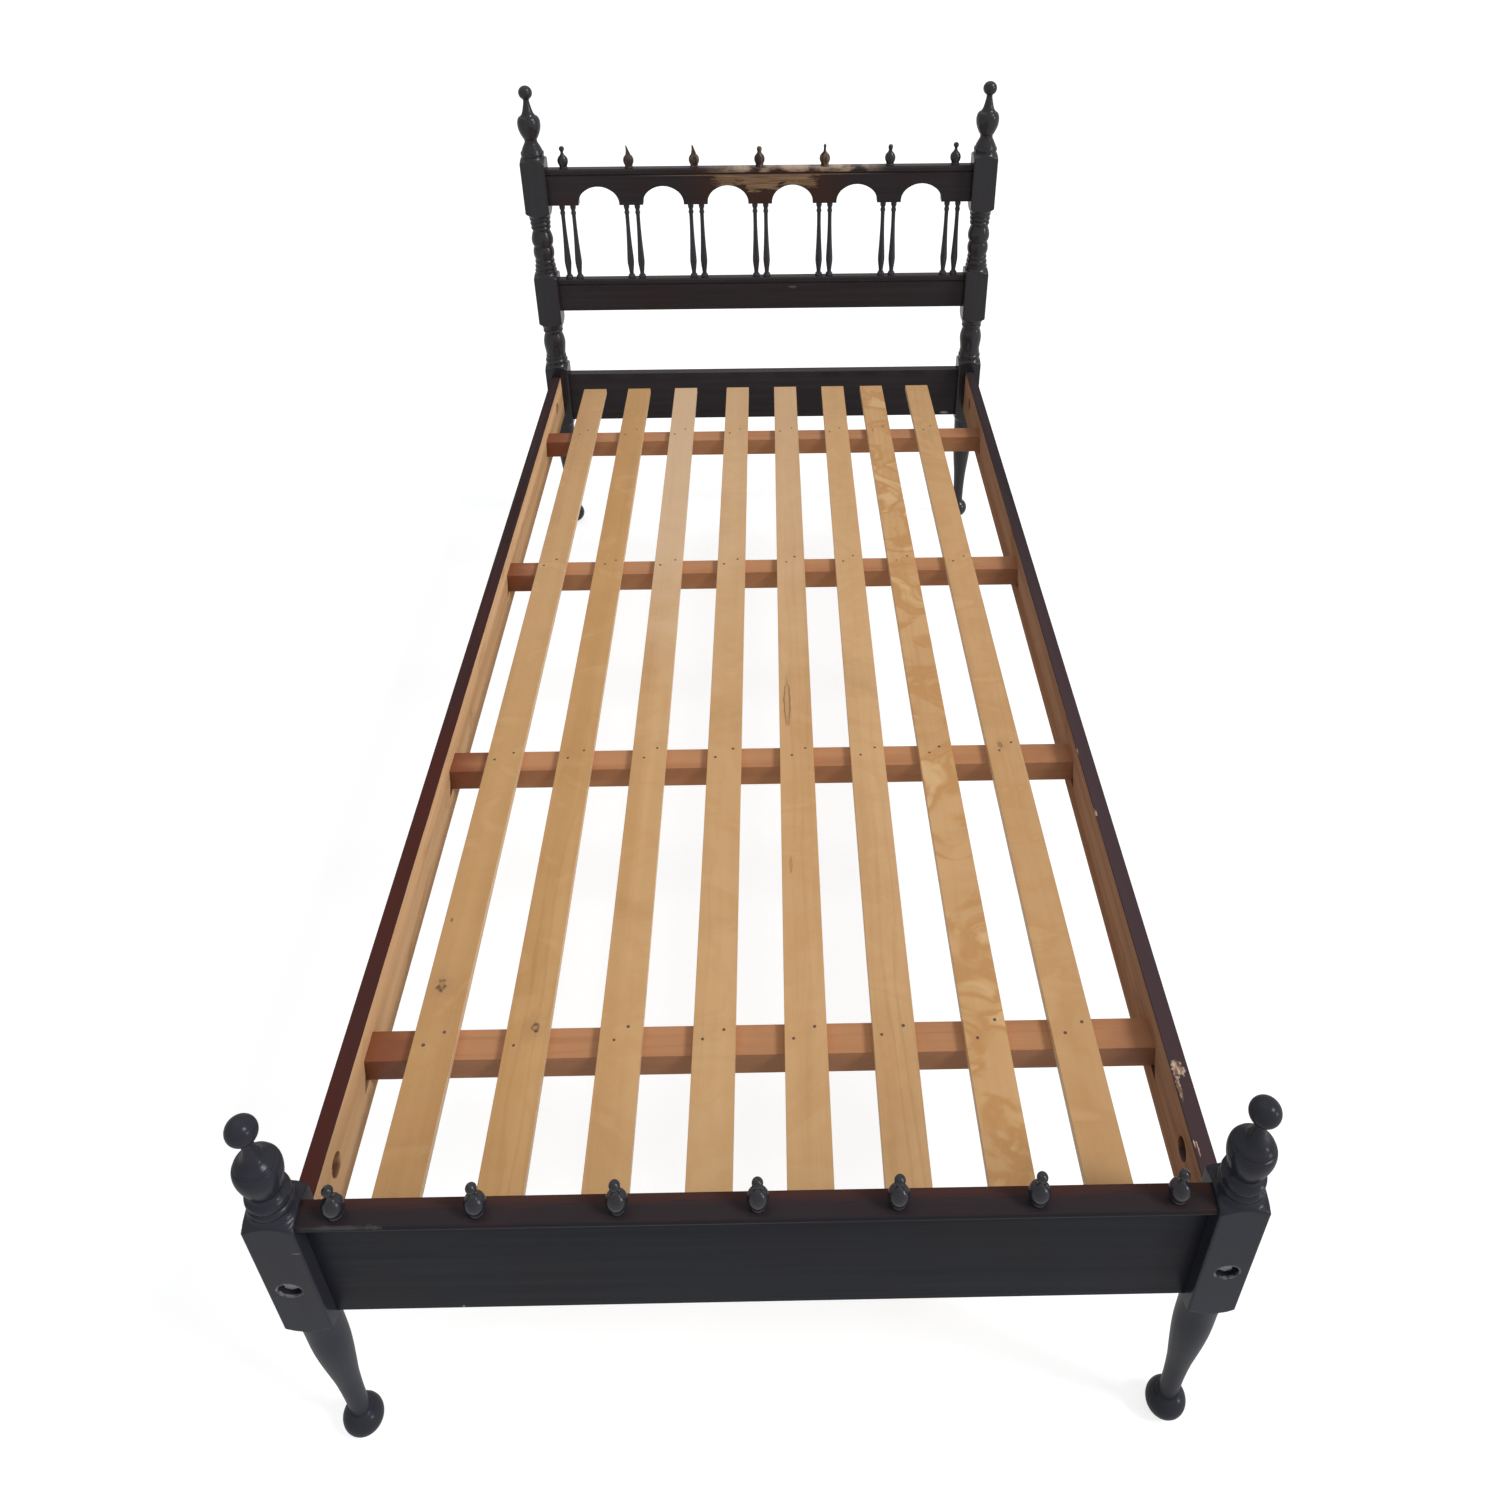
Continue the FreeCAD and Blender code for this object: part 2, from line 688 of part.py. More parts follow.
def place_hardware(body, side, end, beyond_axis):
    """Puts a piece whose own -Y looks out of the bed on the bolt's line, at either end of the bed."""
    if end > 0:
        body.Placement = FreeCAD.Placement(V(0, 0, 0), FreeCAD.Rotation(V(0, 0, 1), 180))
    put(body, side_rail_axis * side, (half_along + beyond_axis) * end, bolt_height)


def corner_nut(name, side, end):
    """A hexagon nut on the bolt, in the side rail's access hole."""
    body = new_body(f"nut_{name}")
    block = sketch_on(body, "XZ_Plane", "block")
    hexagon(block, DRIVING["bolt_head_flats"])
    circle(block, size("bolt_across"), 0.0, 0.0)
    pad(body, block, size("nut_thick"))
    corner = DRIVING["bolt_head_flats"] / math.sqrt(3)
    chord = math.sqrt((DRIVING["access_across"] / 2) ** 2 - corner ** 2)
    seat = size("access_from_axis") - chord + size("nut_thick")
    place_hardware(body, side, end, -seat)
    return body


for name, side, end in (("foot_left", LEFT, -1), ("foot_right", RIGHT, -1),
                        ("head_left", LEFT, 1), ("head_right", RIGHT, 1)):
    corner_bolt(name, side, end)
    corner_nut(name, side, end)


# ---------------------------------------------------------------- checks and export

doc.recompute()
for item in doc.Objects:
    if "Invalid" in item.State or "Error" in item.State:
        raise RuntimeError(f"{item.Name} did not recompute: {item.State}")
for node in nodes:
    shape = node.Shape
    if shape.isNull() or not shape.isValid():
        raise RuntimeError(f"{node.Label} has no valid shape")
    shape.exportStep(f"parts/{node.Label}.step")
    print(f"{node.Label:22s} volume {shape.Volume / 1000:9.2f} cm3  solids {len(shape.Solids)}")
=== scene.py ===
import math
import random
from collections import namedtuple

import bmesh
import bpy
from mathutils import Matrix, Vector


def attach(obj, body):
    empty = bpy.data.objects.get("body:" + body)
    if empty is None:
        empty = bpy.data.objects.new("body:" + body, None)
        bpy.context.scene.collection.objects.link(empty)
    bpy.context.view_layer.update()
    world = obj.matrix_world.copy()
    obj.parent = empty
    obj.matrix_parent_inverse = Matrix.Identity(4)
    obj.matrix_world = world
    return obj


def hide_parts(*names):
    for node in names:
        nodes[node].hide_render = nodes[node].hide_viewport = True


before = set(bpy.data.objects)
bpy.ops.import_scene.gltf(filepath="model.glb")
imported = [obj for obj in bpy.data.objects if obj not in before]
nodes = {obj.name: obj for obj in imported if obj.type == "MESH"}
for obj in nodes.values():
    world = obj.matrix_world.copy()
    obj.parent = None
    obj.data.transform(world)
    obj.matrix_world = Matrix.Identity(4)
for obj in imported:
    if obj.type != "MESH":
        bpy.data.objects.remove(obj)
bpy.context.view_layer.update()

# The looks of a dark stained spindle bed on a plain pale floor. X runs across the bed, Y from the foot to
# the head, and Z up. Metres throughout, except for the values marked mm and the turned outlines, whose
# points are a radius and a height in mm.

MM = 0.001
ACROSS, ALONG = 0.470, 0.977        # the middles of the posts
HALF_POST = 0.025
HALF_SIDE = 25.0                    # half of a post's side again, mm
FOOT_FACE = -1.002                  # the outer faces of the foot posts
BOLT_ACROSS, BOLT_UP = 0.472, 0.362
BORE_RADIUS, BORE_DEEP = 0.012, 0.0068
TOP_RAIL_TOP, LOWER_RAIL_TOP = 0.872, 0.630
CAP_MIDDLE, CAP_TOP = -0.9835, 0.470
SLAT_TOP = 0.382
PAIR_PITCH = 136.3                  # from one pair of spindles to the next, mm
HALF_PAIR = 11.5                    # from the middle of a pair to each spindle, mm
scene = bpy.context.scene


def scaled(values, *gains):
    """A colour or size times one gain, or each of its values times its own."""
    return tuple(v * k for v, k in zip(values, gains * 3 if len(gains) == 1 else gains))


# ---------------------------------------------------------------- shader building blocks

class Shader:
    """A material's node tree, with a short call for each kind of node used here."""

    def __init__(self, name):
        self.material = bpy.data.materials.new(name)
        self.material.use_nodes = True
        self.tree = self.material.node_tree
        self.tree.nodes.clear()
        self.out = self.node("ShaderNodeOutputMaterial")
        self.body = self.node("ShaderNodeBsdfPrincipled")
        self.join(self.body.outputs[0], self.out.inputs[0])
        self.place = self.node("ShaderNodeTexCoord").outputs["Object"]

    def node(self, kind, **settings):
        made = self.tree.nodes.new(kind)
        for key, value in settings.items():
            setattr(made, key, value)
        return made

    def join(self, source, target):
        self.tree.links.new(source, target)

    def feed(self, socket, value):
        """Links a node's output, or sets a plain value."""
        if isinstance(value, bpy.types.NodeSocket):
            self.join(value, socket)
        elif isinstance(value, tuple) and len(value) == 3 and len(socket.default_value) == 4:
            socket.default_value = (*value, 1.0)
        else:
            socket.default_value = value

    def stretched(self, scale, place=None, offset=(0, 0, 0)):
        made = self.node("ShaderNodeMapping")
        self.feed(made.inputs["Vector"], place or self.place)
        made.inputs["Scale"].default_value = scale
        made.inputs["Location"].default_value = offset
        return made.outputs[0]

    def noise(self, vector, scale, detail=4.0, rough=0.55, twist=0.0):
        made = self.node("ShaderNodeTexNoise")
        self.feed(made.inputs["Vector"], vector)
        made.inputs["Scale"].default_value = scale
        made.inputs["Detail"].default_value = detail
        made.inputs["Roughness"].default_value = rough
        made.inputs["Distortion"].default_value = twist
        return made.outputs["Fac"]

    def ramp(self, value, low, high, first=0.0, last=1.0, kind="SMOOTHSTEP"):
        """Runs from first to last while the value goes from low to high."""
        made = self.node("ShaderNodeMapRange", interpolation_type=kind)
        names = ("Value", "From Min", "From Max", "To Min", "To Max")
        for socket, amount in zip(names, (value, low, high, first, last)):
            self.feed(made.inputs[socket], amount)
        return made.outputs[0]

    def fade(self, value, low, high, most=1.0):
        """most up to low, and nothing past high."""
        return self.ramp(value, low, high, most, 0.0)

    def spread(self, noise, first, last):
        """The usual range of a noise, turned evenly into another one."""
        return self.ramp(noise, 0.3, 0.7, first, last, "LINEAR")

    def math(self, operation, a, b=None):
        made = self.node("ShaderNodeMath", operation=operation)
        self.feed(made.inputs[0], a)
        if b is not None:
            self.feed(made.inputs[1], b)
        return made.outputs[0]

    def times(self, product, *factors):
        for factor in factors:
            product = self.math("MULTIPLY", product, factor)
        return product

    def plus(self, a, b):
        return self.math("ADD", a, b)

    def minus(self, a, b):
        return self.math("SUBTRACT", a, b)

    def apart(self, a, b):
        return self.math("ABSOLUTE", self.minus(a, b))

    def mix(self, amount, a, b):
        made = self.node("ShaderNodeMix", data_type="RGBA")
        self.feed(made.inputs["Factor"], amount)
        self.feed(made.inputs[6], a)
        self.feed(made.inputs[7], b)
        return made.outputs[2]

    def parts(self, vector):
        made = self.node("ShaderNodeSeparateXYZ")
        self.feed(made.inputs[0], vector)
        return made.outputs

    def spot(self, centre, radii, soft, warp=0.0, warp_scale=60.0):
        """1 inside an ellipsoid round a point of the object, 0 outside, with a soft ragged edge."""
        shifted = self.node("ShaderNodeVectorMath", operation="SUBTRACT")
        self.feed(shifted.inputs[0], self.place)
        shifted.inputs[1].default_value = centre
        shrunk = self.node("ShaderNodeVectorMath", operation="DIVIDE")
        self.join(shifted.outputs[0], shrunk.inputs[0])
        shrunk.inputs[1].default_value = radii
        reach = self.node("ShaderNodeVectorMath", operation="LENGTH")
        self.join(shrunk.outputs[0], reach.inputs[0])
        far = reach.outputs["Value"]
        if warp:
            far = self.plus(far, self.spread(self.noise(self.place, warp_scale, 3.0), -warp, warp))
        return self.fade(far, 1.0 - soft, 1.0 + soft)

    def worn_edges(self, radius):
        """1 on edges, found by comparing the rounded normal with the true one, and the rounded normal."""
        bevel = self.node("ShaderNodeBevel", samples=4)
        bevel.inputs["Radius"].default_value = radius
        plain = self.node("ShaderNodeNewGeometry").outputs["Normal"]
        dot = self.node("ShaderNodeVectorMath", operation="DOT_PRODUCT")
        self.join(bevel.outputs[0], dot.inputs[0])
        self.join(plain, dot.inputs[1])
        away = self.minus(1.0, dot.outputs["Value"])
        return self.ramp(away, 0.02, 0.12), bevel.outputs[0]

    def facing_up(self):
        return self.parts(self.node("ShaderNodeNewGeometry").outputs["Normal"])[2]

    def bump(self, height, strength, distance, normal):
        made = self.node("ShaderNodeBump")
        made.inputs["Strength"].default_value = strength
        made.inputs["Distance"].default_value = distance
        self.feed(made.inputs["Height"], height)
        self.join(normal, made.inputs["Normal"])
        return made.outputs[0]

    def finish(self, color, rough, normal=None, **fixed):
        self.feed(self.body.inputs["Base Color"], color)
        self.feed(self.body.inputs["Roughness"], rough)
        if normal is not None:
            self.join(normal, self.body.inputs["Normal"])
        for key, value in fixed.items():
            self.body.inputs[key.replace("_", " ")].default_value = value
        return self.material


GRAIN = {"X": (2.2, 60.0, 60.0), "Y": (60.0, 2.2, 60.0), "Z": (60.0, 60.0, 2.2)}
BOARD_EDGE, SLAT_EDGE, STEEL_EDGE = 0.0015, 0.0012, 0.0005


def along(axis, gain=1.0):
    """A scale that draws a texture out along the wood's grain."""
    return scaled(GRAIN[axis], gain)


# ---------------------------------------------------------------- dark stained wood

BLACK_BROWN = (0.0240, 0.0190, 0.0200)
DARK_PLUM = (0.0400, 0.0330, 0.0350)
BLUE_BLACK = (0.0260, 0.0300, 0.0430)
RED_BROWN = (0.050, 0.018, 0.012)
PALE_SCUFF = (0.150, 0.115, 0.100)
RUBBED_TAN = (0.150, 0.098, 0.060)
DUST = (0.080, 0.070, 0.070)


def stained(name, axis, red=0.15, edge=0.35, marks=None, seed=0.0, tan=0.0, cool=0.0, shine=0.05,
            gloss=0.06, depth=1.0, grainy=1.0):
    """Near-black stain over wood, redder where it has thinned, rubbed through on the edges.
    tan rubs it to brown wood, and cool gives it a blue cast. shine and gloss are the surface's own and its
    wax's. depth darkens the stain, and grainy sets how much of the grain shows through it. marks adds
    local wear, and on some boards painted highlights and painted shade: a function of the shader, the
    colour so far and the fine grain."""
    s = Shader(name)
    shift = (seed, seed * 0.7, seed * 1.3)
    even = s.stretched((1, 1, 1), offset=shift)
    grain = s.noise(s.stretched(along(axis), offset=shift), 1.6, 6.0, 0.62, 0.25)
    fine = s.noise(s.stretched(along(axis, 3.5), offset=shift), 2.4, 3.0, 0.6)
    cloud = s.noise(even, 7.0, 4.0, 0.6, 0.4)
    dark, plum, blue = (tuple(v / depth for v in tone) for tone in (BLACK_BROWN, DARK_PLUM, BLUE_BLACK))
    color = s.mix(s.ramp(grain, 0.34, 0.70, 0.5 - 0.5 * grainy, 0.5 + 0.5 * grainy), dark, plum)
    if cool:
        color = s.mix(s.ramp(cloud, 0.30, 0.62, cool * 0.55, cool), color, blue)
    color = s.mix(s.times(s.ramp(cloud, 0.50, 0.72), red), color, RED_BROWN)
    streak = s.times(s.ramp(fine, 0.60, 0.80), 0.25 * grainy)
    color = s.mix(streak, color, scaled(plum, 1.7))
    if tan:
        rubbing = s.noise(s.stretched(along(axis, 1.6), offset=shift), 2.0, 5.0)
        color = s.mix(s.times(s.ramp(rubbing, 0.40, 0.62), tan), color, RUBBED_TAN)
    edges, rounded = s.worn_edges(BOARD_EDGE)
    broken = s.ramp(s.noise(even, 42.0, 4.0, 0.65), 0.47, 0.66)
    color = s.mix(s.times(edges, broken, edge), color, PALE_SCUFF)
    dust = s.times(s.ramp(s.facing_up(), 0.55, 1.0), s.ramp(cloud, 0.35, 0.75, 0.02, 0.10))
    color = s.mix(dust, color, DUST)
    if marks:
        color = marks(s, color, fine)
    rough = s.spread(s.noise(s.stretched(along(axis, 0.6), offset=shift), 3.0, 4.0), 0.30, 0.46)
    height = s.plus(s.times(grain, 0.6), s.times(fine, 0.4))
    normal = s.bump(height, 0.14 * grainy, 0.0010, rounded)
    dents = s.bump(s.noise(s.place, 60.0, 3.0, 0.6), 0.10, 0.0010, rounded)
    s.join(dents, s.body.inputs["Coat Normal"])
    return s.finish(color, rough, normal, Specular_IOR_Level=shine, Coat_Weight=gloss, Coat_Roughness=0.22)


# Small single marks: the place and size of each, how soft its edge is, how strongly it shows, its colour,
# and how ragged its edge is and at what scale.
Mark = namedtuple("Mark", "centre radii soft strength tone warp warp_scale", defaults=(0.0, 60.0))
RAIL_LIP = Mark((0.0, 0.9665, 0.8570), (0.24, 0.02, 0.0014), 0.4, 0.65, (0.24, 0.155, 0.11))
RAIL_SCRATCH = Mark((0.0685, 0.966, 0.6075), (0.010, 0.004, 0.0035), 0.5, 0.55, (0.17, 0.15, 0.15), 0.4)
PANEL_FLECK = Mark((0.4205, 0.967, 0.291), (0.009, 0.004, 0.003), 0.4, 0.8, (0.42, 0.36, 0.30), 0.3)
CAP_SCUFF = Mark((-0.371, -0.9975, 0.4695), (0.0075, 0.0022, 0.003), 0.6, 0.22, (0.15, 0.14, 0.145),
                 0.8, 260.0)
# A painted highlight along the cap's front edge, left of the scuff.
CAP_EDGE_HIGHLIGHT = Mark((-0.404, -0.9975, 0.4685), (0.030, 0.003, 0.0016), 0.5, 0.35, (0.12, 0.115, 0.125), 0.3)
FOOT_DOT = Mark((-0.3122, -0.9845, 0.2869), (0.0016, 0.003, 0.0014), 0.3, 0.7, (0.35, 0.34, 0.33))
BLOCK_DASH = Mark((-0.4498, FOOT_FACE, 0.4328), (0.0038, 0.003, 0.0008), 0.5, 0.55, (0.24, 0.24, 0.26))


def dab(s, color, mark):
    """Adds one small mark to the colour so far."""
    spot = s.spot(mark.centre, mark.radii, mark.soft, mark.warp, mark.warp_scale)
    return s.mix(s.times(spot, mark.strength), color, mark.tone)


# The colour of a painted highlight along the head rails' groove.
GROOVE_GLINT = (0.17, 0.17, 0.185)
GROOVE_DOWN = 0.0104


def groove_glint(s, color, top):
    """A painted highlight on the edge over the groove along a head rail's front, broken here and there."""
    _, y, z = s.parts(s.place)
    line = s.fade(s.apart(z, top - GROOVE_DOWN), 0.0003, 0.0010)
    front = s.fade(y, 0.9655, 0.9665)
    broken = s.ramp(s.noise(s.stretched((16.0, 3.0, 3.0)), 1.0, 5.0, 0.7), 0.36, 0.58, 0.10, 0.60)
    return s.mix(s.times(line, front, broken), color, GROOVE_GLINT)


WARM_STAIN = (0.052, 0.025, 0.018)
BARE_DEEP, BARE_PALE = (0.150, 0.088, 0.048), (0.300, 0.195, 0.115)
RUBBED_TOP = (0.400, 0.290, 0.210)


def top_rail_marks(s, color, fine):
    """The middle of the front is rubbed to bare wood below its moulding, with warmer stain round it, and
    the moulding's edge is rubbed pale."""
    color = groove_glint(s, color, TOP_RAIL_TOP)
    x, y, z = s.parts(s.place)
    front = s.fade(y, 0.9680, 0.9760)
    warm_band = s.times(s.fade(s.apart(x, 0.02), 0.10, 0.20), 0.75, front)
    color = s.mix(warm_band, color, WARM_STAIN)

    ragged = s.noise(s.stretched((34.0, 3.0, 150.0)), 1.0, 5.0, 0.62)
    low_edge = s.spread(ragged, 0.818, 0.850)
    tab = s.fade(s.apart(x, 0.006), 0.022, 0.042, 0.012)
    above_edge = s.ramp(s.minus(z, s.minus(low_edge, tab)), -0.002, 0.006)
    left_end = s.ramp(s.plus(x, s.spread(ragged, -0.02, 0.02)), -0.104, -0.088)
    right_end = s.fade(s.plus(x, s.spread(ragged, -0.025, 0.025)), 0.104, 0.124)
    below_moulding = s.fade(z, 0.8555, 0.8585)
    bare = s.times(above_edge, s.times(left_end, right_end), below_moulding, front)
    wood = s.mix(s.ramp(fine, 0.35, 0.7), BARE_DEEP, BARE_PALE)
    color = s.mix(s.times(bare, 0.92), color, wood)

    strip = s.times(s.ramp(z, 0.8615, 0.8640), s.ramp(x, -0.13, -0.02), s.fade(x, 0.20, 0.27))
    patchy = s.ramp(s.noise(s.stretched((26.0, 6.0, 60.0)), 1.0, 4.0), 0.38, 0.62)
    color = s.mix(s.times(strip, s.times(patchy, 0.90)), color, RUBBED_TOP)
    return dab(s, color, RAIL_LIP)


def lower_rail_marks(s, color, fine):
    return dab(s, groove_glint(s, color, LOWER_RAIL_TOP), RAIL_SCRATCH)


def panel_marks(s, color, fine):
    return dab(s, color, PANEL_FLECK)


def foot_rail_marks(s, color, fine):
    return dab(s, color, FOOT_DOT)


CAP_TOP_TONE, CAP_BACK_WEAR = (0.034, 0.023, 0.024), (0.075, 0.026, 0.018)


def cap_marks(s, color, fine):
    """A lighter, browner top with reddish wear along its back, pale scuffs on the front edge by the left end,
    and a painted highlight line along that edge beside them.
    """
    y = s.parts(s.place)[1]
    top = s.ramp(s.facing_up(), 0.5, 0.9)
    back = s.ramp(s.plus(y, s.spread(fine, -0.004, 0.004)), -0.984, -0.971)
    color = s.mix(s.times(top, 0.55), color, CAP_TOP_TONE)
    color = s.mix(s.times(top, back, 0.60), color, CAP_BACK_WEAR)
    return dab(s, dab(s, color, CAP_SCUFF), CAP_EDGE_HIGHLIGHT)


INSIDE_STAIN, BORE_SHADE = (0.235, 0.105, 0.055), (0.155, 0.060, 0.030)


def rail_inside(s, color, fine, side, deep, pale):
    """The rails' inner faces and the holes in them keep the bare wood, below a ragged line of stain; the
    faces set back from the inner face, as in the holes, are painted darker as shade.
    """
    x, y, z = s.parts(s.place)
    across = s.times(x, side)
    inner = s.fade(across, 0.4800, 0.4806)
    ragged = s.spread(s.noise(s.stretched((3.0, 9.0, 60.0)), 1.0, 4.0), -0.0006, 0.0006)
    below = s.fade(s.plus(z, ragged), 0.3988, 0.4000)
    between_ends = s.fade(s.math("ABSOLUTE", y), 0.9515, 0.9518)
    tone = s.noise(s.stretched(along("Y", 0.5)), 1.4, 5.0)
    natural = s.mix(s.ramp(tone, 0.3, 0.7), deep, pale)
    natural = s.mix(s.times(s.ramp(fine, 0.5, 0.8), 0.25), natural, scaled(deep, 0.6))
    smear = s.ramp(s.noise(s.stretched((4, 7, 16)), 1.0, 5.0, 0.6, 0.8), 0.55, 0.75, 0.0, 0.45)
    natural = s.mix(smear, natural, INSIDE_STAIN)
    # Painted shade: faces set back from the inner face, as in the holes, are darkened.
    natural = s.mix(s.ramp(across, 0.4630, 0.4660, 0.0, 0.62), natural, BORE_SHADE)
    return s.mix(s.times(inner, below, between_ends), color, natural)


# Two sets of tones for the same bare wood: the right rail's inner face is painted darker than the left's,
# painted shade on a face turned from the light.
LEFT_INSIDE = ((0.52, 0.300, 0.150), (0.63, 0.40, 0.225))
RIGHT_INSIDE_SHADED = ((0.290, 0.148, 0.084), (0.400, 0.222, 0.132))
LEFT_TOP_WEAR, RIGHT_TOP_WEAR = (0.076, 0.022, 0.017), (0.070, 0.043, 0.048)
TORN_DEEP, TORN_PALE = (0.20, 0.105, 0.065), (0.60, 0.44, 0.33)
CHIPS = (
    ((0.4700, -0.8000, 0.4010), (0.0062, 0.0085, 0.004)),
    ((0.4655, -0.8220, 0.4010), (0.0022, 0.0120, 0.003)),
    ((0.4665, -0.8970, 0.4010), (0.0008, 0.0075, 0.003)),
    ((0.4640, -0.8890, 0.4010), (0.0007, 0.0040, 0.003)),
    ((0.4620, -0.4085, 0.4005), (0.0020, 0.0070, 0.003)),
    ((0.4620, -0.2894, 0.4005), (0.0018, 0.0060, 0.003)),
)


def left_rail_marks(s, color, fine):
    """Stained outside and on the top edge, bare inside; the top edge has rubbed to reddish brown."""
    color = rail_inside(s, color, fine, -1, *LEFT_INSIDE)
    top = s.times(s.ramp(s.facing_up(), 0.5, 0.9), 0.85)
    rubbed = s.ramp(s.noise(s.stretched((14.0, 2.2, 14.0)), 1.0, 4.0), 0.30, 0.62, 0.45, 1.0)
    toward_foot = s.ramp(s.parts(s.place)[1], -0.20, 0.60, 1.0, 0.25)
    return s.mix(s.times(top, toward_foot, rubbed), color, LEFT_TOP_WEAR)


def right_rail_marks(s, color, fine):
    """As the left rail, but with its bare inner face painted darker as shade, and with chips of light wood
    broken from the top edge.
    """
    color = rail_inside(s, color, fine, 1, *RIGHT_INSIDE_SHADED)
    top = s.times(s.ramp(s.facing_up(), 0.5, 0.9), 0.80)
    toward_foot = s.ramp(s.parts(s.place)[1], -0.30, 0.60, 1.0, 0.30)
    color = s.mix(s.times(top, toward_foot), color, RIGHT_TOP_WEAR)
    fibre = s.noise(s.stretched((240.0, 60.0, 60.0)), 1.0, 4.0, 0.6)
    torn = s.mix(s.ramp(fibre, 0.40, 0.60), TORN_DEEP, TORN_PALE)
    for centre, radii in CHIPS:
        color = s.mix(s.times(s.spot(centre, radii, 0.25, 0.55, 190.0), 0.85), color, torn)
    return color


# A pale ring round each bolt hole: rubbed wear, and a painted highlight on its rim.
RIM_WEAR_AND_HIGHLIGHT = (0.19, 0.19, 0.21)
RIM_OUTER, RIM_INNER = (0.0137, 0.004, 0.0137), (0.0119, 0.006, 0.0119)


def post_marks(s, color, fine):
    """A dash on the left block, and a pale ring round each bolt hole, partly rubbed wear and partly a painted
    highlight on its rim.
    """
    color = dab(s, color, BLOCK_DASH)
    broken = s.ramp(s.noise(s.place, 150.0, 3.0), 0.40, 0.58)
    for side in (-1, 1):
        centre = (BOLT_ACROSS * side, FOOT_FACE, BOLT_UP)
        outer = s.spot(centre, RIM_OUTER, 0.05, 0.06, 200.0)
        inner = s.spot(centre, RIM_INNER, 0.04)
        rim = s.times(s.minus(outer, s.math("MINIMUM", outer, inner)), broken)
        color = s.mix(s.times(rim, 0.80), color, RIM_WEAR_AND_HIGHLIGHT)
    return color


# ---------------------------------------------------------------- bare wood of slats and crossbars

GRIME = (0.245, 0.118, 0.058)
FIGURE_DEEP, FIGURE_PALE = (0.450, 0.222, 0.078), (0.640, 0.425, 0.215)
# A pale tone painted over the slats towards the head end as a painted reflection, and a paler tone painted on
# their sides as painted light.
PAINTED_SHEEN, PAINTED_SIDE_LIGHT = (0.610, 0.440, 0.300), (0.66, 0.47, 0.29)
KNOT_HALO, KNOT_RING, SCAR_RIM = (0.33, 0.185, 0.090), (0.085, 0.040, 0.020), (0.165, 0.065, 0.035)


def growth_lines(s, axis, place):
    """Faint lines along the grain, in some stretches of the board and not in others."""
    wander = {"X": (0.10, 1.0, 1.0), "Y": (1.0, 0.10, 1.0)}[axis]
    direction = "X" if axis == "Y" else "Y"
    lines = s.node("ShaderNodeTexWave", wave_type="BANDS", bands_direction=direction)
    s.feed(lines.inputs["Vector"], s.stretched(wander, place))
    settings = {"Scale": 22.0, "Distortion": 7.5, "Detail": 2.0, "Detail Scale": 1.6, "Detail Roughness": 0.5}
    for key, value in settings.items():
        lines.inputs[key].default_value = value
    here = s.ramp(s.noise(s.stretched(along(axis, 0.12), place), 2.0, 3.0), 0.42, 0.66)
    return s.times(s.ramp(lines.outputs["Fac"], 0.62, 0.98), here)


def wavy_figure(s, color, axis, place, strength):
    """Broad cross bands, dark and light, of a wavy board."""
    scale = (9.0, 11.0, 9.0) if axis == "Y" else (11.0, 9.0, 9.0)
    waves = s.noise(s.stretched(scale, place), 1.0, 3.0, 0.5, 1.6)
    color = s.mix(s.ramp(waves, 0.44, 0.55, 0.0, strength), color, FIGURE_DEEP)
    return s.mix(s.ramp(waves, 0.56, 0.68, 0.0, strength * 0.9), color, FIGURE_PALE)


def knot(s, color, centre, radii):
    """A dark ring with a lighter heart, and a stained halo round it."""
    halo = s.spot(centre, scaled(radii, 2.6), 0.7, 0.45, 60.0)
    color = s.mix(s.times(halo, 0.30), color, KNOT_HALO)
    core = s.spot(centre, radii, 0.35, 0.55, 130.0)
    heart = s.spot(centre, scaled(radii, 0.62), 0.5, 0.45, 160.0)
    ring = s.times(core, s.minus(1.0, s.times(heart, 0.75)))
    return s.mix(s.times(ring, 0.85), color, KNOT_RING)


def scar(s, color, centre, radii):
    """A long closed seam, darkest along its rim."""
    outer = s.spot(centre, radii, 0.22, 0.20, 70.0)
    within = s.spot(centre, scaled(radii, 0.60, 0.93, 1.0), 0.25, 0.20, 70.0)
    rim = s.times(outer, s.minus(1.0, s.times(within, 0.8)))
    return s.mix(s.times(rim, 0.75), color, SCAR_RIM)


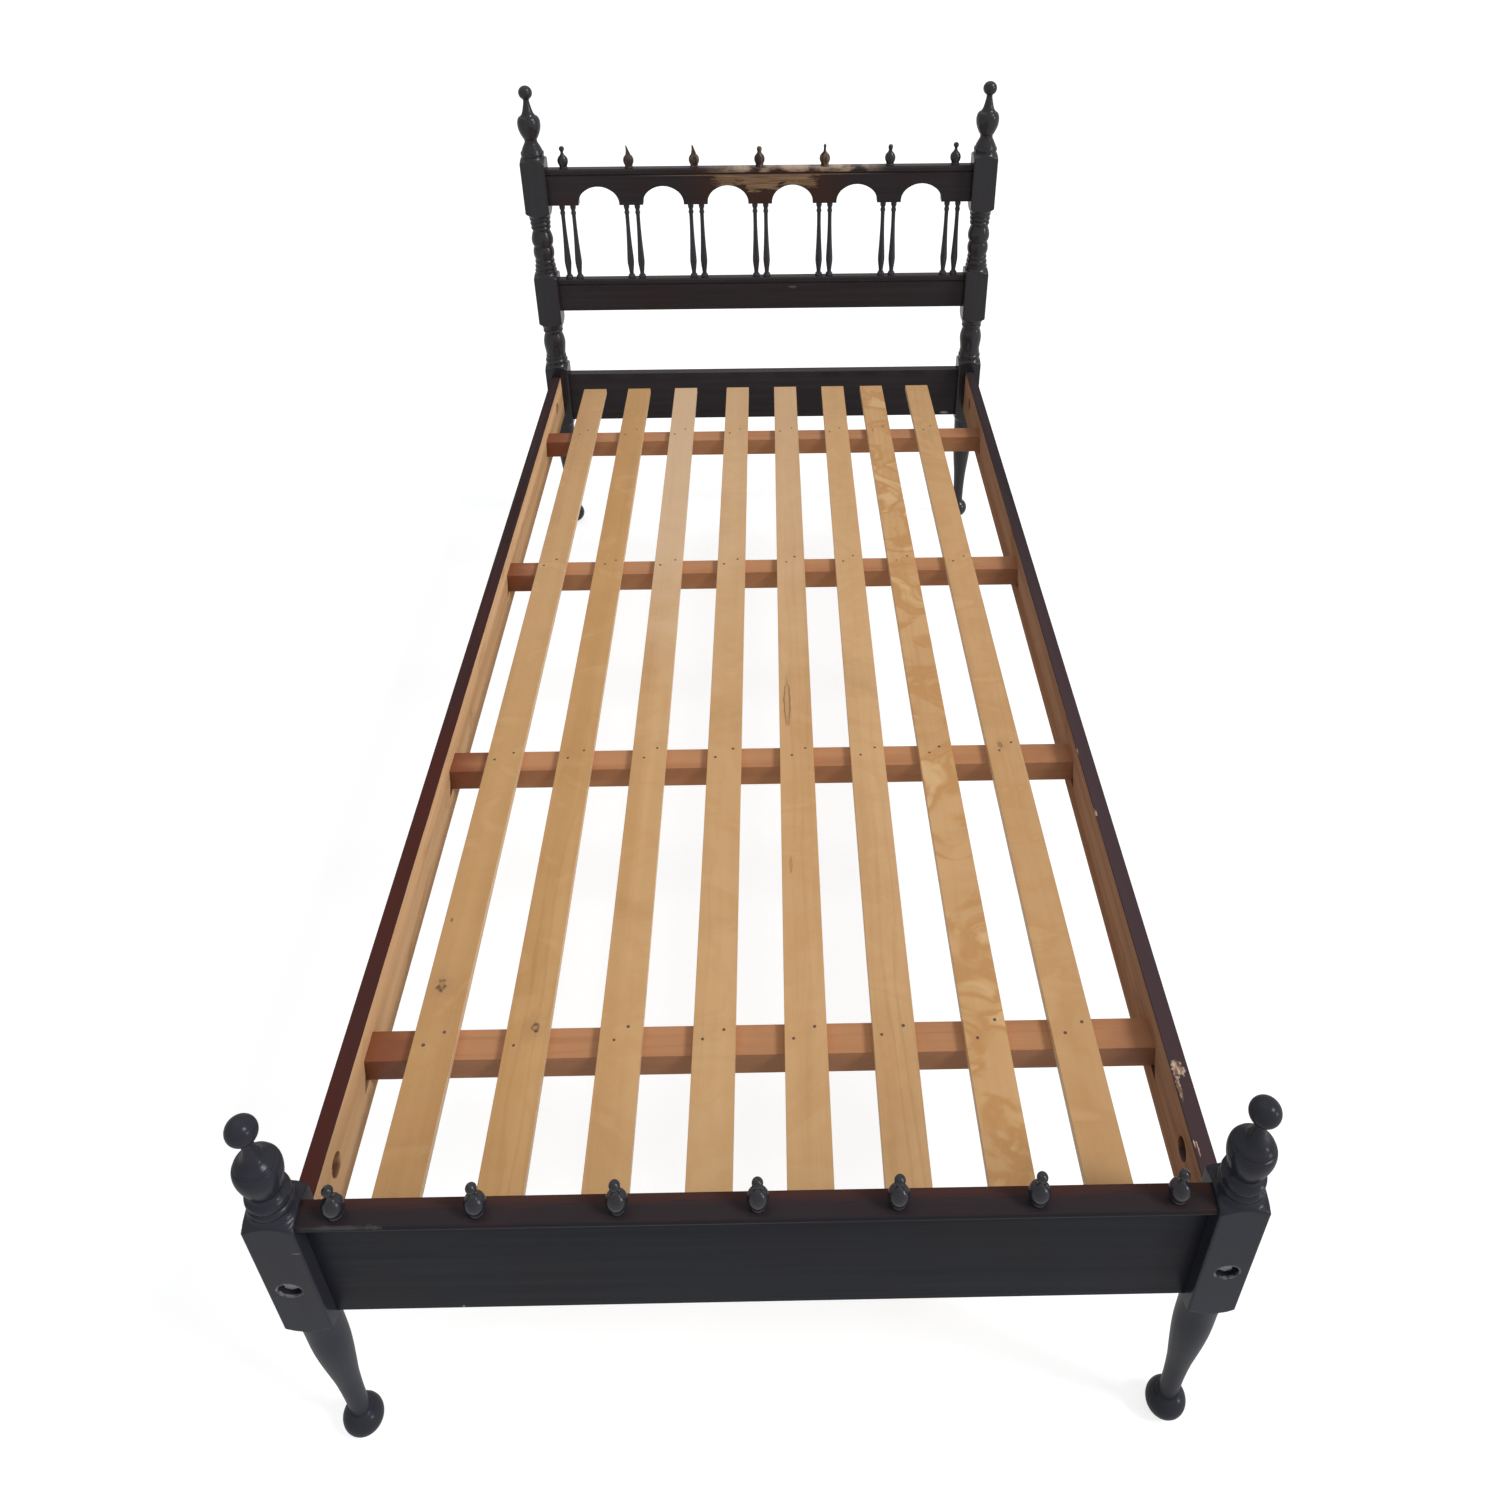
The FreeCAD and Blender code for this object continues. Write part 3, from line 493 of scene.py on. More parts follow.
def bare_wood(name, axis, pale, deep, knots=(), scars=(), seed=0.0, dirt=0.25, marks=None, figure=0.0,
              sheen=0.0):
    """Planed, pale wood: drifting bands, faint growth lines, fine pores, knots and hand grime.
    figure adds the broad cross bands of a wavy board, sheen paints a pale sheen over the head end, which
    is a painted reflection, and marks adds any local colour."""
    s = Shader(name)
    shift = (seed * 3.1, seed * 1.7, seed * 2.3)
    place = s.stretched((1, 1, 1), offset=shift)
    drift = s.noise(s.stretched(along(axis, 0.22), place), 1.3, 4.0, 0.55, 0.4)
    fine = s.noise(s.stretched(along(axis, 4.0), place), 2.2, 3.0, 0.6)
    cloud = s.noise(place, 6.0, 5.0, 0.6, 0.5)
    color = s.mix(s.ramp(drift, 0.32, 0.70), pale, deep)
    color = s.mix(s.times(growth_lines(s, axis, place), 0.30), color, scaled(deep, 0.62))
    color = s.mix(s.ramp(cloud, 0.36, 0.66, 0.0, 0.35), color, scaled(pale, 1.06, 1.08, 1.14))
    color = s.mix(s.ramp(fine, 0.56, 0.82, 0.0, 0.22), color, scaled(deep, 0.66))
    grime = s.noise(place, 3.6, 5.0, 0.65, 0.9)
    color = s.mix(s.ramp(grime, 0.52, 0.74, 0.0, dirt), color, GRIME)
    if figure:
        color = wavy_figure(s, color, axis, place, figure)
    # Painted reflection: a pale sheen that grows towards the head end.
    if sheen:
        drifted = s.plus(s.parts(s.place)[1], s.spread(cloud, -0.15, 0.15))
        color = s.mix(s.ramp(drifted, -0.35, 0.45, 0.0, sheen), color, PAINTED_SHEEN)
    for centre, radii in knots:
        color = knot(s, color, centre, radii)
    for centre, radii in scars:
        color = scar(s, color, centre, radii)
    if marks:
        color = marks(s, color)
    # Painted light: the slats' sides and undersides are painted paler, as faces lit from the side.
    if axis == "Y":
        color = s.mix(s.fade(s.facing_up(), 0.25, 0.60, 0.55), color, PAINTED_SIDE_LIGHT)
    edges, rounded = s.worn_edges(SLAT_EDGE)
    color = s.mix(s.times(edges, 0.30), color, scaled(deep, 0.72))
    height = s.plus(s.times(drift, 0.3), s.times(fine, 0.7))
    normal = s.bump(height, 0.16, 0.0008, rounded)
    return s.finish(color, s.spread(cloud, 0.40, 0.56), normal, Specular_IOR_Level=0.15)


# Stain and painted shade at the bars' ends, by the rails.
LEFT_END_STAIN_AND_SHADE, RIGHT_END_STAIN_AND_SHADE = (0.190, 0.058, 0.024), (0.20, 0.075, 0.036)


def bar_ends(s, color):
    """The bars are redder towards the rails from stain, and darker there from painted shade, most of all on
    the left.
    """
    x = s.parts(s.place)[0]
    ragged = s.spread(s.noise(s.stretched((7.0, 20.0, 20.0)), 1.0, 4.0), -0.03, 0.03)
    left = s.fade(s.plus(x, ragged), -0.450, -0.340, 0.92)
    right = s.ramp(s.plus(x, ragged), 0.385, 0.462, 0.0, 0.55)
    return s.mix(right, s.mix(left, color, LEFT_END_STAIN_AND_SHADE), RIGHT_END_STAIN_AND_SHADE)


# ---------------------------------------------------------------- steel

CLEAN_STEEL, NAIL_BROWN = (0.20, 0.20, 0.215), (0.085, 0.045, 0.026)
RUST, BRIGHT_STEEL = (0.140, 0.072, 0.040), (0.30, 0.295, 0.30)


def dark_steel(name, clean=CLEAN_STEEL, rusty=0.35, bright=0.6, metal=0.8):
    """Blackened steel with a little rust in its hollows and rubbed, bright edges."""
    s = Shader(name)
    rust = s.noise(s.place, 420.0, 4.0, 0.65)
    color = s.mix(s.ramp(rust, 0.50, 0.68, 0.0, rusty), clean, RUST)
    edges, rounded = s.worn_edges(STEEL_EDGE)
    color = s.mix(s.times(edges, bright), color, BRIGHT_STEEL)
    normal = s.bump(rust, 0.25, 0.0003, rounded)
    return s.finish(color, s.spread(rust, 0.34, 0.58), normal, Metallic=metal)


# ---------------------------------------------------------------- turned forms

CREASE, NAIL_CREASE = math.radians(34), math.radians(40)
EASED_CORNER = 0.9
SMALLEST_RING = 0.12


def curve(points, steps=5):
    """A smooth run of points through the given ones."""
    if len(points) < 3:
        return list(points)
    ends = [points[0]] + list(points) + [points[-1]]
    out = [points[0]]
    for a, b, c, d in zip(ends, ends[1:], ends[2:], ends[3:]):
        for i in range(1, steps + 1):
            t = i / steps
            out.append(tuple(0.5 * (2 * q + (r - p) * t + (2 * p - 5 * q + 4 * r - u) * t * t
                                    + (3 * q - p - 3 * r + u) * t ** 3) for p, q, r, u in zip(a, b, c, d)))
    return out


def ball(centre, radius, start, end=90.0, steps=16):
    """The side of a ball, between two angles up from its middle."""
    turn = [math.radians(start + (end - start) * i / steps) for i in range(steps + 1)]
    return [(radius * math.cos(a), centre + radius * math.sin(a)) for a in turn]


def outline(*strokes):
    """Joins smooth strokes into one outline with a crisp corner between each two. A stroke of 12 points
    or more is smooth already."""
    points = []
    for stroke in strokes:
        points += curve(stroke) if len(stroke) < 12 else stroke
    return points


def square_reach(angle):
    """How far the planed square reaches at an angle, its corners eased a little."""
    reach = HALF_SIDE / max(abs(math.cos(angle)), abs(math.sin(angle)))
    return min(reach, HALF_SIDE * math.sqrt(2) - EASED_CORNER)


def around(segments, corners):
    """Angles for one ring: evenly spaced, with a few more beside each corner of the square."""
    even = [2 * math.pi * i / segments for i in range(segments)]
    if not corners:
        return even
    extra = [math.radians(45 + 90 * q + d) for q in range(4) for d in (-2.4, -1.2, 1.2, 2.4)]
    return sorted(even + extra)


def turned(name, points, centre, segments, on_square=False, bend=None):
    """A closed turned form. On square stock, each ring stops where the square does. bend gives how far
    the middle leans over at a height."""
    angles = around(segments, on_square)
    verts, faces = [], []
    for radius, height in points:
        lean = bend(height) if bend else 0.0
        for a in angles:
            r = min(radius, square_reach(a)) if on_square else radius
            x = centre[0] + (r * math.cos(a) + lean) * MM
            y = centre[1] + r * math.sin(a) * MM
            verts.append((x, y, centre[2] + height * MM))
    n = len(angles)
    for row in range(len(points) - 1):
        for i in range(n):
            j = (i + 1) % n
            faces.append((row * n + i, row * n + j, (row + 1) * n + j, (row + 1) * n + i))
    faces.append(tuple(reversed(range(n))))
    faces.append(tuple(range((len(points) - 1) * n, len(points) * n)))
    mesh = bpy.data.meshes.new(name)
    mesh.from_pydata(verts, [], faces)
    mesh.update()
    smooth(mesh, CREASE)
    made = bpy.data.objects.new(name, mesh)
    scene.collection.objects.link(made)
    return made


def smooth(mesh, crease):
    mesh.shade_smooth()
    mesh.set_sharp_from_angle(angle=crease)


def shoulder_up(height):
    """From a turned stretch out past the corners of the square above it."""
    rise = ((22.5, -3), (23.6, 0), (26.5, 3.2), (31.0, 6.0), (36.5, 11.5))
    return [(radius, height + up) for radius, up in rise]


def shoulder_down(height):
    return [(r, 2 * height - z) for r, z in reversed(shoulder_up(height))]


LEG = (
    ball(22.0, 23.0, -73.0, 58.0),
    [(12.0, 42.0), (11.5, 50), (11.5, 62), (11.9, 85), (13.6, 120), (16.2, 148), (18.6, 174), (20.2, 196),
     (20.9, 214), (21.1, 234)],
    [(21.1, 234), (21.2, 246), (21.6, 258), (22.2, 270)],
    shoulder_up(274),
)

FOOT_POST = LEG + (
    shoulder_down(479),
    [(22.0, 483.6), (22.7, 486.6), (22.1, 490.0)],
    [(20.7, 491.2), (20.5, 492.6)],
    [(21.3, 494), (21.9, 498), (21.3, 502.4)],
    [(19.6, 503.8), (17.7, 506.4), (16.6, 509.6)],
    [(17.3, 511.4), (19.4, 518), (21.4, 526), (22.8, 534), (23.1, 540.5), (22.4, 546), (20.9, 549.4)],
    [(19.7, 550.0), (19.4, 551.4)],
    [(19.8, 552.0), (17.4, 554.8), (13.8, 557.6), (10.8, 561.0), (8.7, 565.4), (7.2, 571), (6.2, 577),
     (5.7, 583), (6.4, 588.6)],
    ball(602.0, 15.0, -61.0),
)

HEAD_POST = LEG + (
    shoulder_down(428),
    [(23.6, 431.6), (24.5, 435), (24.0, 438.6)],
    [(22.4, 440), (21.7, 442.2)],
    [(22.2, 443.6), (22.5, 446), (21.9, 448.4)],
    [(21.3, 449.8), (21.6, 455), (22.5, 463), (23.5, 471), (23.9, 478), (23.4, 485.5), (21.7, 493.5),
     (19.6, 500.4)],
    [(18.7, 502), (18.7, 504.4)],
    [(20.6, 505.6), (21.7, 509), (20.9, 512.4)],
    [(20.2, 513.4), (20.2, 514.6)],
    [(21.6, 515.6), (22.6, 518.0)],
    shoulder_up(522),
    shoulder_down(645),
    [(23.0, 649), (23.4, 651)],
    [(21.0, 652.4), (20.8, 653.8)],
    [(21.5, 655), (22.2, 659), (21.5, 663)],
    [(20.2, 664.2), (20.0, 666.8)],
    [(20.4, 667.8), (20.9, 670.8), (20.3, 673.8)],
    [(19.2, 675), (19.2, 677.4)],
    [(20.2, 679), (21.7, 684.6), (22.2, 691), (21.6, 697.2), (20.0, 702.8)],
    [(19.1, 704), (19.1, 706)],
    [(20.4, 707.6), (22.2, 712.4), (23.0, 718.6), (22.4, 725.2), (20.8, 731.6), (19.0, 737)],
    [(18.2, 739), (18.2, 742)],
    [(19.8, 743.2), (20.9, 746.4), (20.0, 749.6)],
    [(19.2, 750.4), (19.2, 751.8)],
    [(20.6, 752.8), (21.6, 756.2), (20.7, 759.6)],
    [(20.0, 760.4), (20.0, 761.8)],
    [(21.2, 762.8), (22.3, 766.2), (21.8, 769.0)],
    shoulder_up(773),
    shoulder_down(897),
    [(23.4, 900.6), (24.0, 904), (23.3, 907.4)],
    [(21.6, 908.4), (20.6, 912), (18.6, 916.6), (16.2, 921.2), (14.6, 924.6)],
    [(13.5, 925.8), (13.0, 929.6), (13.2, 934)],
    [(14.6, 935.2), (17.6, 941), (20.6, 948), (22.6, 955), (23.4, 962), (23.2, 968.4), (21.8, 973.8),
     (19.8, 977.4)],
    [(18.6, 978.4), (15.0, 981.0), (12.2, 985), (10.2, 990.4), (8.3, 998), (6.6, 1006), (6.1, 1010.6),
     (6.9, 1013.8)],
    ball(1026.0, 14.0, -60.0),
)

SPINDLE = (
    [(7.1, 630), (7.3, 633), (6.6, 636)],
    [(4.7, 637.4), (4.1, 641), (4.7, 647), (5.9, 656), (6.8, 665), (6.8, 671), (6.2, 683), (5.2, 702),
     (4.4, 722), (3.8, 744), (3.7, 760), (3.8, 772)],
    [(4.7, 773.6), (5.0, 776), (4.7, 778.4)],
    [(3.9, 780), (4.0, 783.6)],
    [(5.2, 785.4), (5.6, 789), (5.5, 795)],
)
SPINDLE_FULLER = 0.45

FINIAL_BODY = (
    [(8.2, 0), (8.6, 1.6), (8.2, 3.2)],
    [(7.6, 4.0), (8.7, 7), (10.3, 10.5), (11.0, 14.5), (10.8, 18), (9.6, 21.6), (7.6, 24.6), (5.7, 26.6)],
)
BALL_TOP = (
    [(5.0, 27.4), (3.7, 29.6), (3.0, 32.4), (3.0, 34.2), (3.6, 35.6)],
    ball(40.4, 5.6, -54.0, 90.0, 12),
)
LEAN_FROM, LEAN_OVER, LEAN_CURVE = 26, 20, 1.4

# The five worn tops by their place along the rail, each with how far it leans over at its tip.
WORN_TOPS = {
    1: ([(5.2, 27.4), (4.4, 30.5), (3.1, 35), (2.1, 40), (1.2, 45), (0.3, 46)], -3.4),
    2: ([(5.4, 27.4), (4.6, 31), (3.4, 35), (2.4, 40), (1.5, 44.6), (0.3, 46)], -2.6),
    3: ([(5.4, 27.4), (4.3, 29.4), (4.5, 32.0), (5.2, 35.0), (5.1, 38.0), (3.6, 40.6), (0.4, 41.8)], 0.3),
    4: ([(5.0, 27.4), (3.2, 30.0), (2.6, 33.0), (2.4, 37.0), (2.9, 40.0), (2.4, 43.4), (0.3, 45.6)], 0.4),
    5: ([(5.2, 27.4), (4.0, 29.6), (3.9, 32.4), (4.7, 35.6), (4.8, 38.6), (3.6, 41.6), (0.4, 43.2)], 0.9),
}


def closed_top(points):
    """Keeps the last ring open by a hair so that the form closes on a small face."""
    return [(max(r, SMALLEST_RING), z) for r, z in points]


def bore_out(made, centre):
    """Cuts the round recess of a bolt's head into the post's outer face."""
    bpy.ops.mesh.primitive_cylinder_add(vertices=48, radius=BORE_RADIUS, depth=2 * BORE_DEEP, location=centre,
                                        rotation=(math.pi / 2, 0, 0))
    cutter = bpy.context.object
    cut = made.modifiers.new("counterbore", "BOOLEAN")
    cut.operation = "DIFFERENCE"
    cut.solver = "EXACT"
    cut.object = cutter
    shaped = bpy.data.meshes.new_from_object(made.evaluated_get(bpy.context.evaluated_depsgraph_get()))
    made.modifiers.clear()
    made.data = shaped
    bpy.data.objects.remove(cutter)
    smooth(shaped, CREASE)


def wear(made, material):
    """Gives a piece its material."""
    made.data.materials.clear()
    made.data.materials.append(material)


# ---------------------------------------------------------------- posts, spindles and finials

def make_posts():
    cold = stained("foot_post_wood", "Z", red=0.06, edge=0.20, marks=post_marks, seed=1.0, cool=0.9,
                   shine=0.0, gloss=0.24, depth=1.3, grainy=0.5)
    warm = stained("head_post_wood", "Z", red=0.10, edge=0.22, seed=1.5, cool=0.35, shine=0.0, gloss=0.50,
                   depth=1.6, grainy=0.6)
    for place, end, shape, wood in (("foot", -1, FOOT_POST, cold), ("head", 1, HEAD_POST, warm)):
        points = closed_top(outline(*shape))
        for hand, side in (("left", -1), ("right", 1)):
            name = f"{place}_post_{hand}"
            made = turned(f"{name}_turned", points, (side * ACROSS, end * ALONG, 0.0), 72, on_square=True)
            bore_out(made, (side * BOLT_ACROSS, end * (ALONG + HALF_POST), BOLT_UP))
            wear(made, wood)
            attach(made, "root")
            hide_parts(name)


def make_spindles():
    wood = stained("spindle_wood", "Z", red=0.10, edge=0.15, seed=2.0, cool=0.6, shine=0.0, gloss=0.45)
    points = [(radius + SPINDLE_FULLER, height) for radius, height in outline(*SPINDLE)]
    for number in range(14):
        pair, side = number // 2 - 3, (-1, 1)[number % 2]
        name = f"spindle_{number + 1:02d}"
        x = (pair * PAIR_PITCH + side * HALF_PAIR) * MM
        made = turned(f"{name}_turned", points, (x, ALONG, 0.0), 32)
        wear(made, wood)
        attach(made, "root")
        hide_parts(name)


def leaning(tip):
    """How far a worn top leans over at a height, growing from its neck to its tip."""
    return lambda z: tip * max(0.0, (z - LEAN_FROM) / LEAN_OVER) ** LEAN_CURVE


def make_finials():
    dark = stained("finial_wood", "Z", red=0.12, edge=0.25, seed=3.0, cool=0.7, shine=0.0, gloss=0.55,
                   depth=1.7, grainy=0.5)
    rubbed = stained("finial_wood_rubbed", "Z", red=0.30, edge=0.5, seed=4.0, tan=0.85)
    half = stained("finial_wood_half_rubbed", "Z", red=0.30, edge=0.5, seed=5.0, tan=0.45)
    woods = {1: half, 2: rubbed, 3: rubbed, 4: rubbed}
    whole = closed_top(outline(*FINIAL_BODY, *BALL_TOP))
    for pair in range(7):
        x = (pair - 3) * PAIR_PITCH * MM
        points, bend, node = whole, None, "head_finials_whole"
        if pair in WORN_TOPS:
            top, tip = WORN_TOPS[pair]
            points, bend, node = closed_top(outline(*FINIAL_BODY, top)), leaning(tip), "head_finials_worn"
        made = turned(f"head_finial_{pair + 1}", points, (x, ALONG, TOP_RAIL_TOP), 40, bend=bend)
        wear(made, woods.get(pair, dark))
        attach(made, "root")
        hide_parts(node)
        foot = turned(f"foot_finial_{pair + 1}", whole, (x, CAP_MIDDLE, CAP_TOP), 40)
        wear(foot, dark)
        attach(foot, "root")
        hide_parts("foot_finials")


# ---------------------------------------------------------------- boards, bars, slats and hardware

HEAD_STAIN = dict(cool=0.1, shine=0.04, depth=1.05, gloss=0.09, grainy=0.55)
FOOT_STAIN = dict(cool=0.9, shine=0.022, depth=2.0, gloss=0.0, grainy=0.25)
CAP_STAIN = dict(cool=0.5, shine=0.022, depth=1.7, gloss=0.03, grainy=0.4)
SIDE_STAIN = dict(cool=0.0, shine=0.0, depth=1.0, gloss=0.0, grainy=0.8)


def dress_boards():
    boards = (("head_top_rail", "X", top_rail_marks, 0.30, 6.0, HEAD_STAIN),
              ("head_lower_rail", "X", lower_rail_marks, 0.15, 7.0, HEAD_STAIN),
              ("head_panel", "X", panel_marks, 0.08, 8.0, HEAD_STAIN),
              ("foot_rail", "X", foot_rail_marks, 0.06, 9.0, FOOT_STAIN),
              ("foot_rail_cap", "X", cap_marks, 0.45, 10.0, CAP_STAIN),
              ("side_rail_left", "Y", left_rail_marks, 0.35, 11.0, SIDE_STAIN),
              ("side_rail_right", "Y", right_rail_marks, 0.20, 12.0, SIDE_STAIN))
    for node, axis, marks, red, seed, stain in boards:
        wood = stained(f"{node}_wood", axis, red=red, edge=0.30, marks=marks, seed=seed, **stain)
        wear(nodes[node], wood)


SLAT_TONES = (
    (0.485, 0.278, 0.118), (0.510, 0.292, 0.122), (0.560, 0.335, 0.155), (0.575, 0.352, 0.170),
    (0.560, 0.335, 0.158), (0.555, 0.335, 0.162), (0.560, 0.330, 0.150), (0.520, 0.303, 0.138),
)
KNOTS = {
    1: (((-0.3898, -0.658, SLAT_TOP), (0.0048, 0.0080, 0.012)),
        ((-0.3985, -0.560, SLAT_TOP), (0.0010, 0.0019, 0.012))),
    2: (((-0.2669, -0.7206, SLAT_TOP), (0.0046, 0.0062, 0.012)),),
    8: (((0.3559, -0.252, SLAT_TOP), (0.0030, 0.0062, 0.012)),),
}
SCARS = {
    5: (((0.0385, -0.148, SLAT_TOP), (0.0052, 0.054, 0.012)),
        ((0.0395, -0.475, SLAT_TOP), (0.0016, 0.014, 0.012))),
}
FIGURED, FAINT_FIGURE = {7: 0.75, 8: 0.25}, 0.16
# How strongly each slat gets the painted sheen towards its head end.
SHEEN_TOWARD_HEAD = {1: 0.12, 3: 0.60, 4: 0.22, 5: 0.28}
BAR_PALE, BAR_DEEP = (0.450, 0.212, 0.098), (0.365, 0.155, 0.068)


def dress_slats():
    for number, pale in enumerate(SLAT_TONES, 1):
        wood = bare_wood(f"slat_{number}_wood", "Y", pale, scaled(pale, 0.86, 0.80, 0.72),
                         KNOTS.get(number, ()), SCARS.get(number, ()), seed=float(number), dirt=0.20,
                         figure=FIGURED.get(number, FAINT_FIGURE), sheen=SHEEN_TOWARD_HEAD.get(number, 0.0))
        wear(nodes[f"slat_{number}"], wood)
    for number in range(1, 5):
        wood = bare_wood(f"crossbar_{number}_wood", "X", BAR_PALE, BAR_DEEP, seed=10.0 + number, dirt=0.30,
                         marks=bar_ends)
        wear(nodes[f"crossbar_{number}"], wood)


def dress_hardware():
    steel = dark_steel("blackened_steel")
    for name, node in nodes.items():
        if name.startswith(("bolt_", "nut_")):
            wear(node, steel)


# The middles of the bars along the bed, and of each slat at its foot end and its head end, in mm across.
BARS = (-0.7331, -0.2585, 0.2392, 0.7268)
SLATS = ((-382.7, -381.8), (-274.0, -282.1), (-163.0, -176.2), (-54.2, -58.8),
         (53.3, 48.6), (156.7, 156.1), (266.9, 243.2), (369.2, 347.0))
SLAT_MIDDLE, SLAT_LONG = -0.006, 1.9
NAIL_PLACES = ((-0.011, -0.008), (0.010, 0.009))
NAIL_RADIUS = 0.0019
NAIL_STRAY = 0.004
NAIL_SIDES = 14
NAIL_RINGS = ((0.55, -0.004), (0.55, -0.0002), (1.0, 0.0000), (0.96, 0.00035), (0.6, 0.00060), (0.2, 0.00066))


def slat_x(slat, y):
    """The middle of a slat at a place along the bed."""
    foot_x, head_x = slat
    return ((foot_x + head_x) / 2 + (head_x - foot_x) * (y - SLAT_MIDDLE) / SLAT_LONG) * MM


def make_nails():
    """Two small nails at each crossing, each a little off its even place."""
    chance = random.Random(11)
    build = bmesh.new()
    for slat in SLATS:
        for bar in BARS:
            for dx, dy in NAIL_PLACES:
                x = slat_x(slat, bar) + dx + chance.uniform(-NAIL_STRAY, NAIL_STRAY)
                y = bar + dy + chance.uniform(-NAIL_STRAY, NAIL_STRAY)
                add_nail(build, x, y, NAIL_RADIUS + chance.uniform(-0.0002, 0.0003))
    mesh = bpy.data.meshes.new("slat_nails")
    build.to_mesh(mesh)
    build.free()
    smooth(mesh, NAIL_CREASE)
    made = bpy.data.objects.new("slat_nails", mesh)
    scene.collection.objects.link(made)
    wear(made, dark_steel("nail_steel", NAIL_BROWN, 0.7, 0.0, 0.25))
    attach(made, "root")


def add_nail(build, x, y, radius):
    """A shallow domed head on a short shank, in the top of a slat."""
    turns = [2 * math.pi * i / NAIL_SIDES for i in range(NAIL_SIDES)]
    rows = []
    for share, lift in NAIL_RINGS:
        rows.append([build.verts.new((x + radius * share * math.cos(a), y + radius * share * math.sin(a),
                                      SLAT_TOP + lift)) for a in turns])
    for lower, upper in zip(rows, rows[1:]):
        for i in range(NAIL_SIDES):
            j = (i + 1) % NAIL_SIDES
            build.faces.new((lower[i], lower[j], upper[j], upper[i]))
    build.faces.new(rows[-1])
    build.faces.new(tuple(reversed(rows[0])))


# ---------------------------------------------------------------- floor, light and camera

FLOOR_WIDE = 60.0
FLOOR_TONES = ((0.62, 0.62, 0.62), (0.66, 0.66, 0.66))
FLOOR_GLOW, FLOOR_VEIL = 0.74, 0.40
WHITE, SKY = (1, 1, 1, 1), (0.95, 0.98, 1.0, 1)
SKY_POWER = 0.52


def shown_white(tree):
    """1 for the rays that should find a plain white background, straight or by way of a shiny surface."""
    ray = tree.nodes.new("ShaderNodeLightPath")
    found = ray.outputs["Is Camera Ray"]
    for kind in ("Is Glossy Ray", "Is Transmission Ray"):
        either = tree.nodes.new("ShaderNodeMath")
        either.operation = "MAXIMUM"
        tree.links.new(found, either.inputs[0])
        tree.links.new(ray.outputs[kind], either.inputs[1])
        found = either.outputs[0]
    return found


def white_when_seen(tree, lit, seen, out):
    """Sends one shader out for light, and another for the rays that should find white."""
    blend = tree.nodes.new("ShaderNodeMixShader")
    tree.links.new(shown_white(tree), blend.inputs[0])
    tree.links.new(lit.outputs[0], blend.inputs[1])
    tree.links.new(seen.outputs[0], blend.inputs[2])
    tree.links.new(blend.outputs[0], out.inputs[0])


def make_stage():
    """A wide pale floor, white to the eye except for the soft shadow that it keeps."""
    bpy.ops.mesh.primitive_plane_add(size=FLOOR_WIDE, location=(0, 0, 0))
    floor = bpy.context.object
    floor.name = "floor"
    shader = Shader("floor_paint")
    tone = shader.noise(shader.place, 0.8, 2.0)
    shader.finish(shader.mix(tone, *FLOOR_TONES), 0.9, Specular_IOR_Level=0.0)
    glow = shader.node("ShaderNodeEmission")
    glow.inputs["Strength"].default_value = FLOOR_GLOW
    veil = shader.node("ShaderNodeBsdfDiffuse")
    veil.inputs["Color"].default_value = (FLOOR_VEIL, FLOOR_VEIL, FLOOR_VEIL, 1.0)
    both = shader.node("ShaderNodeAddShader")
    shader.join(glow.outputs[0], both.inputs[0])
    shader.join(veil.outputs[0], both.inputs[1])
    white_when_seen(shader.tree, shader.body, both, shader.out)
    floor.data.materials.append(shader.material)


def background(tree, color, power):
    made = tree.nodes.new("ShaderNodeBackground")
    made.inputs["Color"].default_value = color
    made.inputs["Strength"].default_value = power
    return made


def make_world():
    """A plain sky for light, and white where it is looked at."""
    world = bpy.data.worlds.new("studio")
    world.use_nodes = True
    tree = world.node_tree
    tree.nodes.clear()
    out = tree.nodes.new("ShaderNodeOutputWorld")
    white_when_seen(tree, background(tree, SKY, SKY_POWER), background(tree, WHITE, 1.0), out)
    scene.world = world


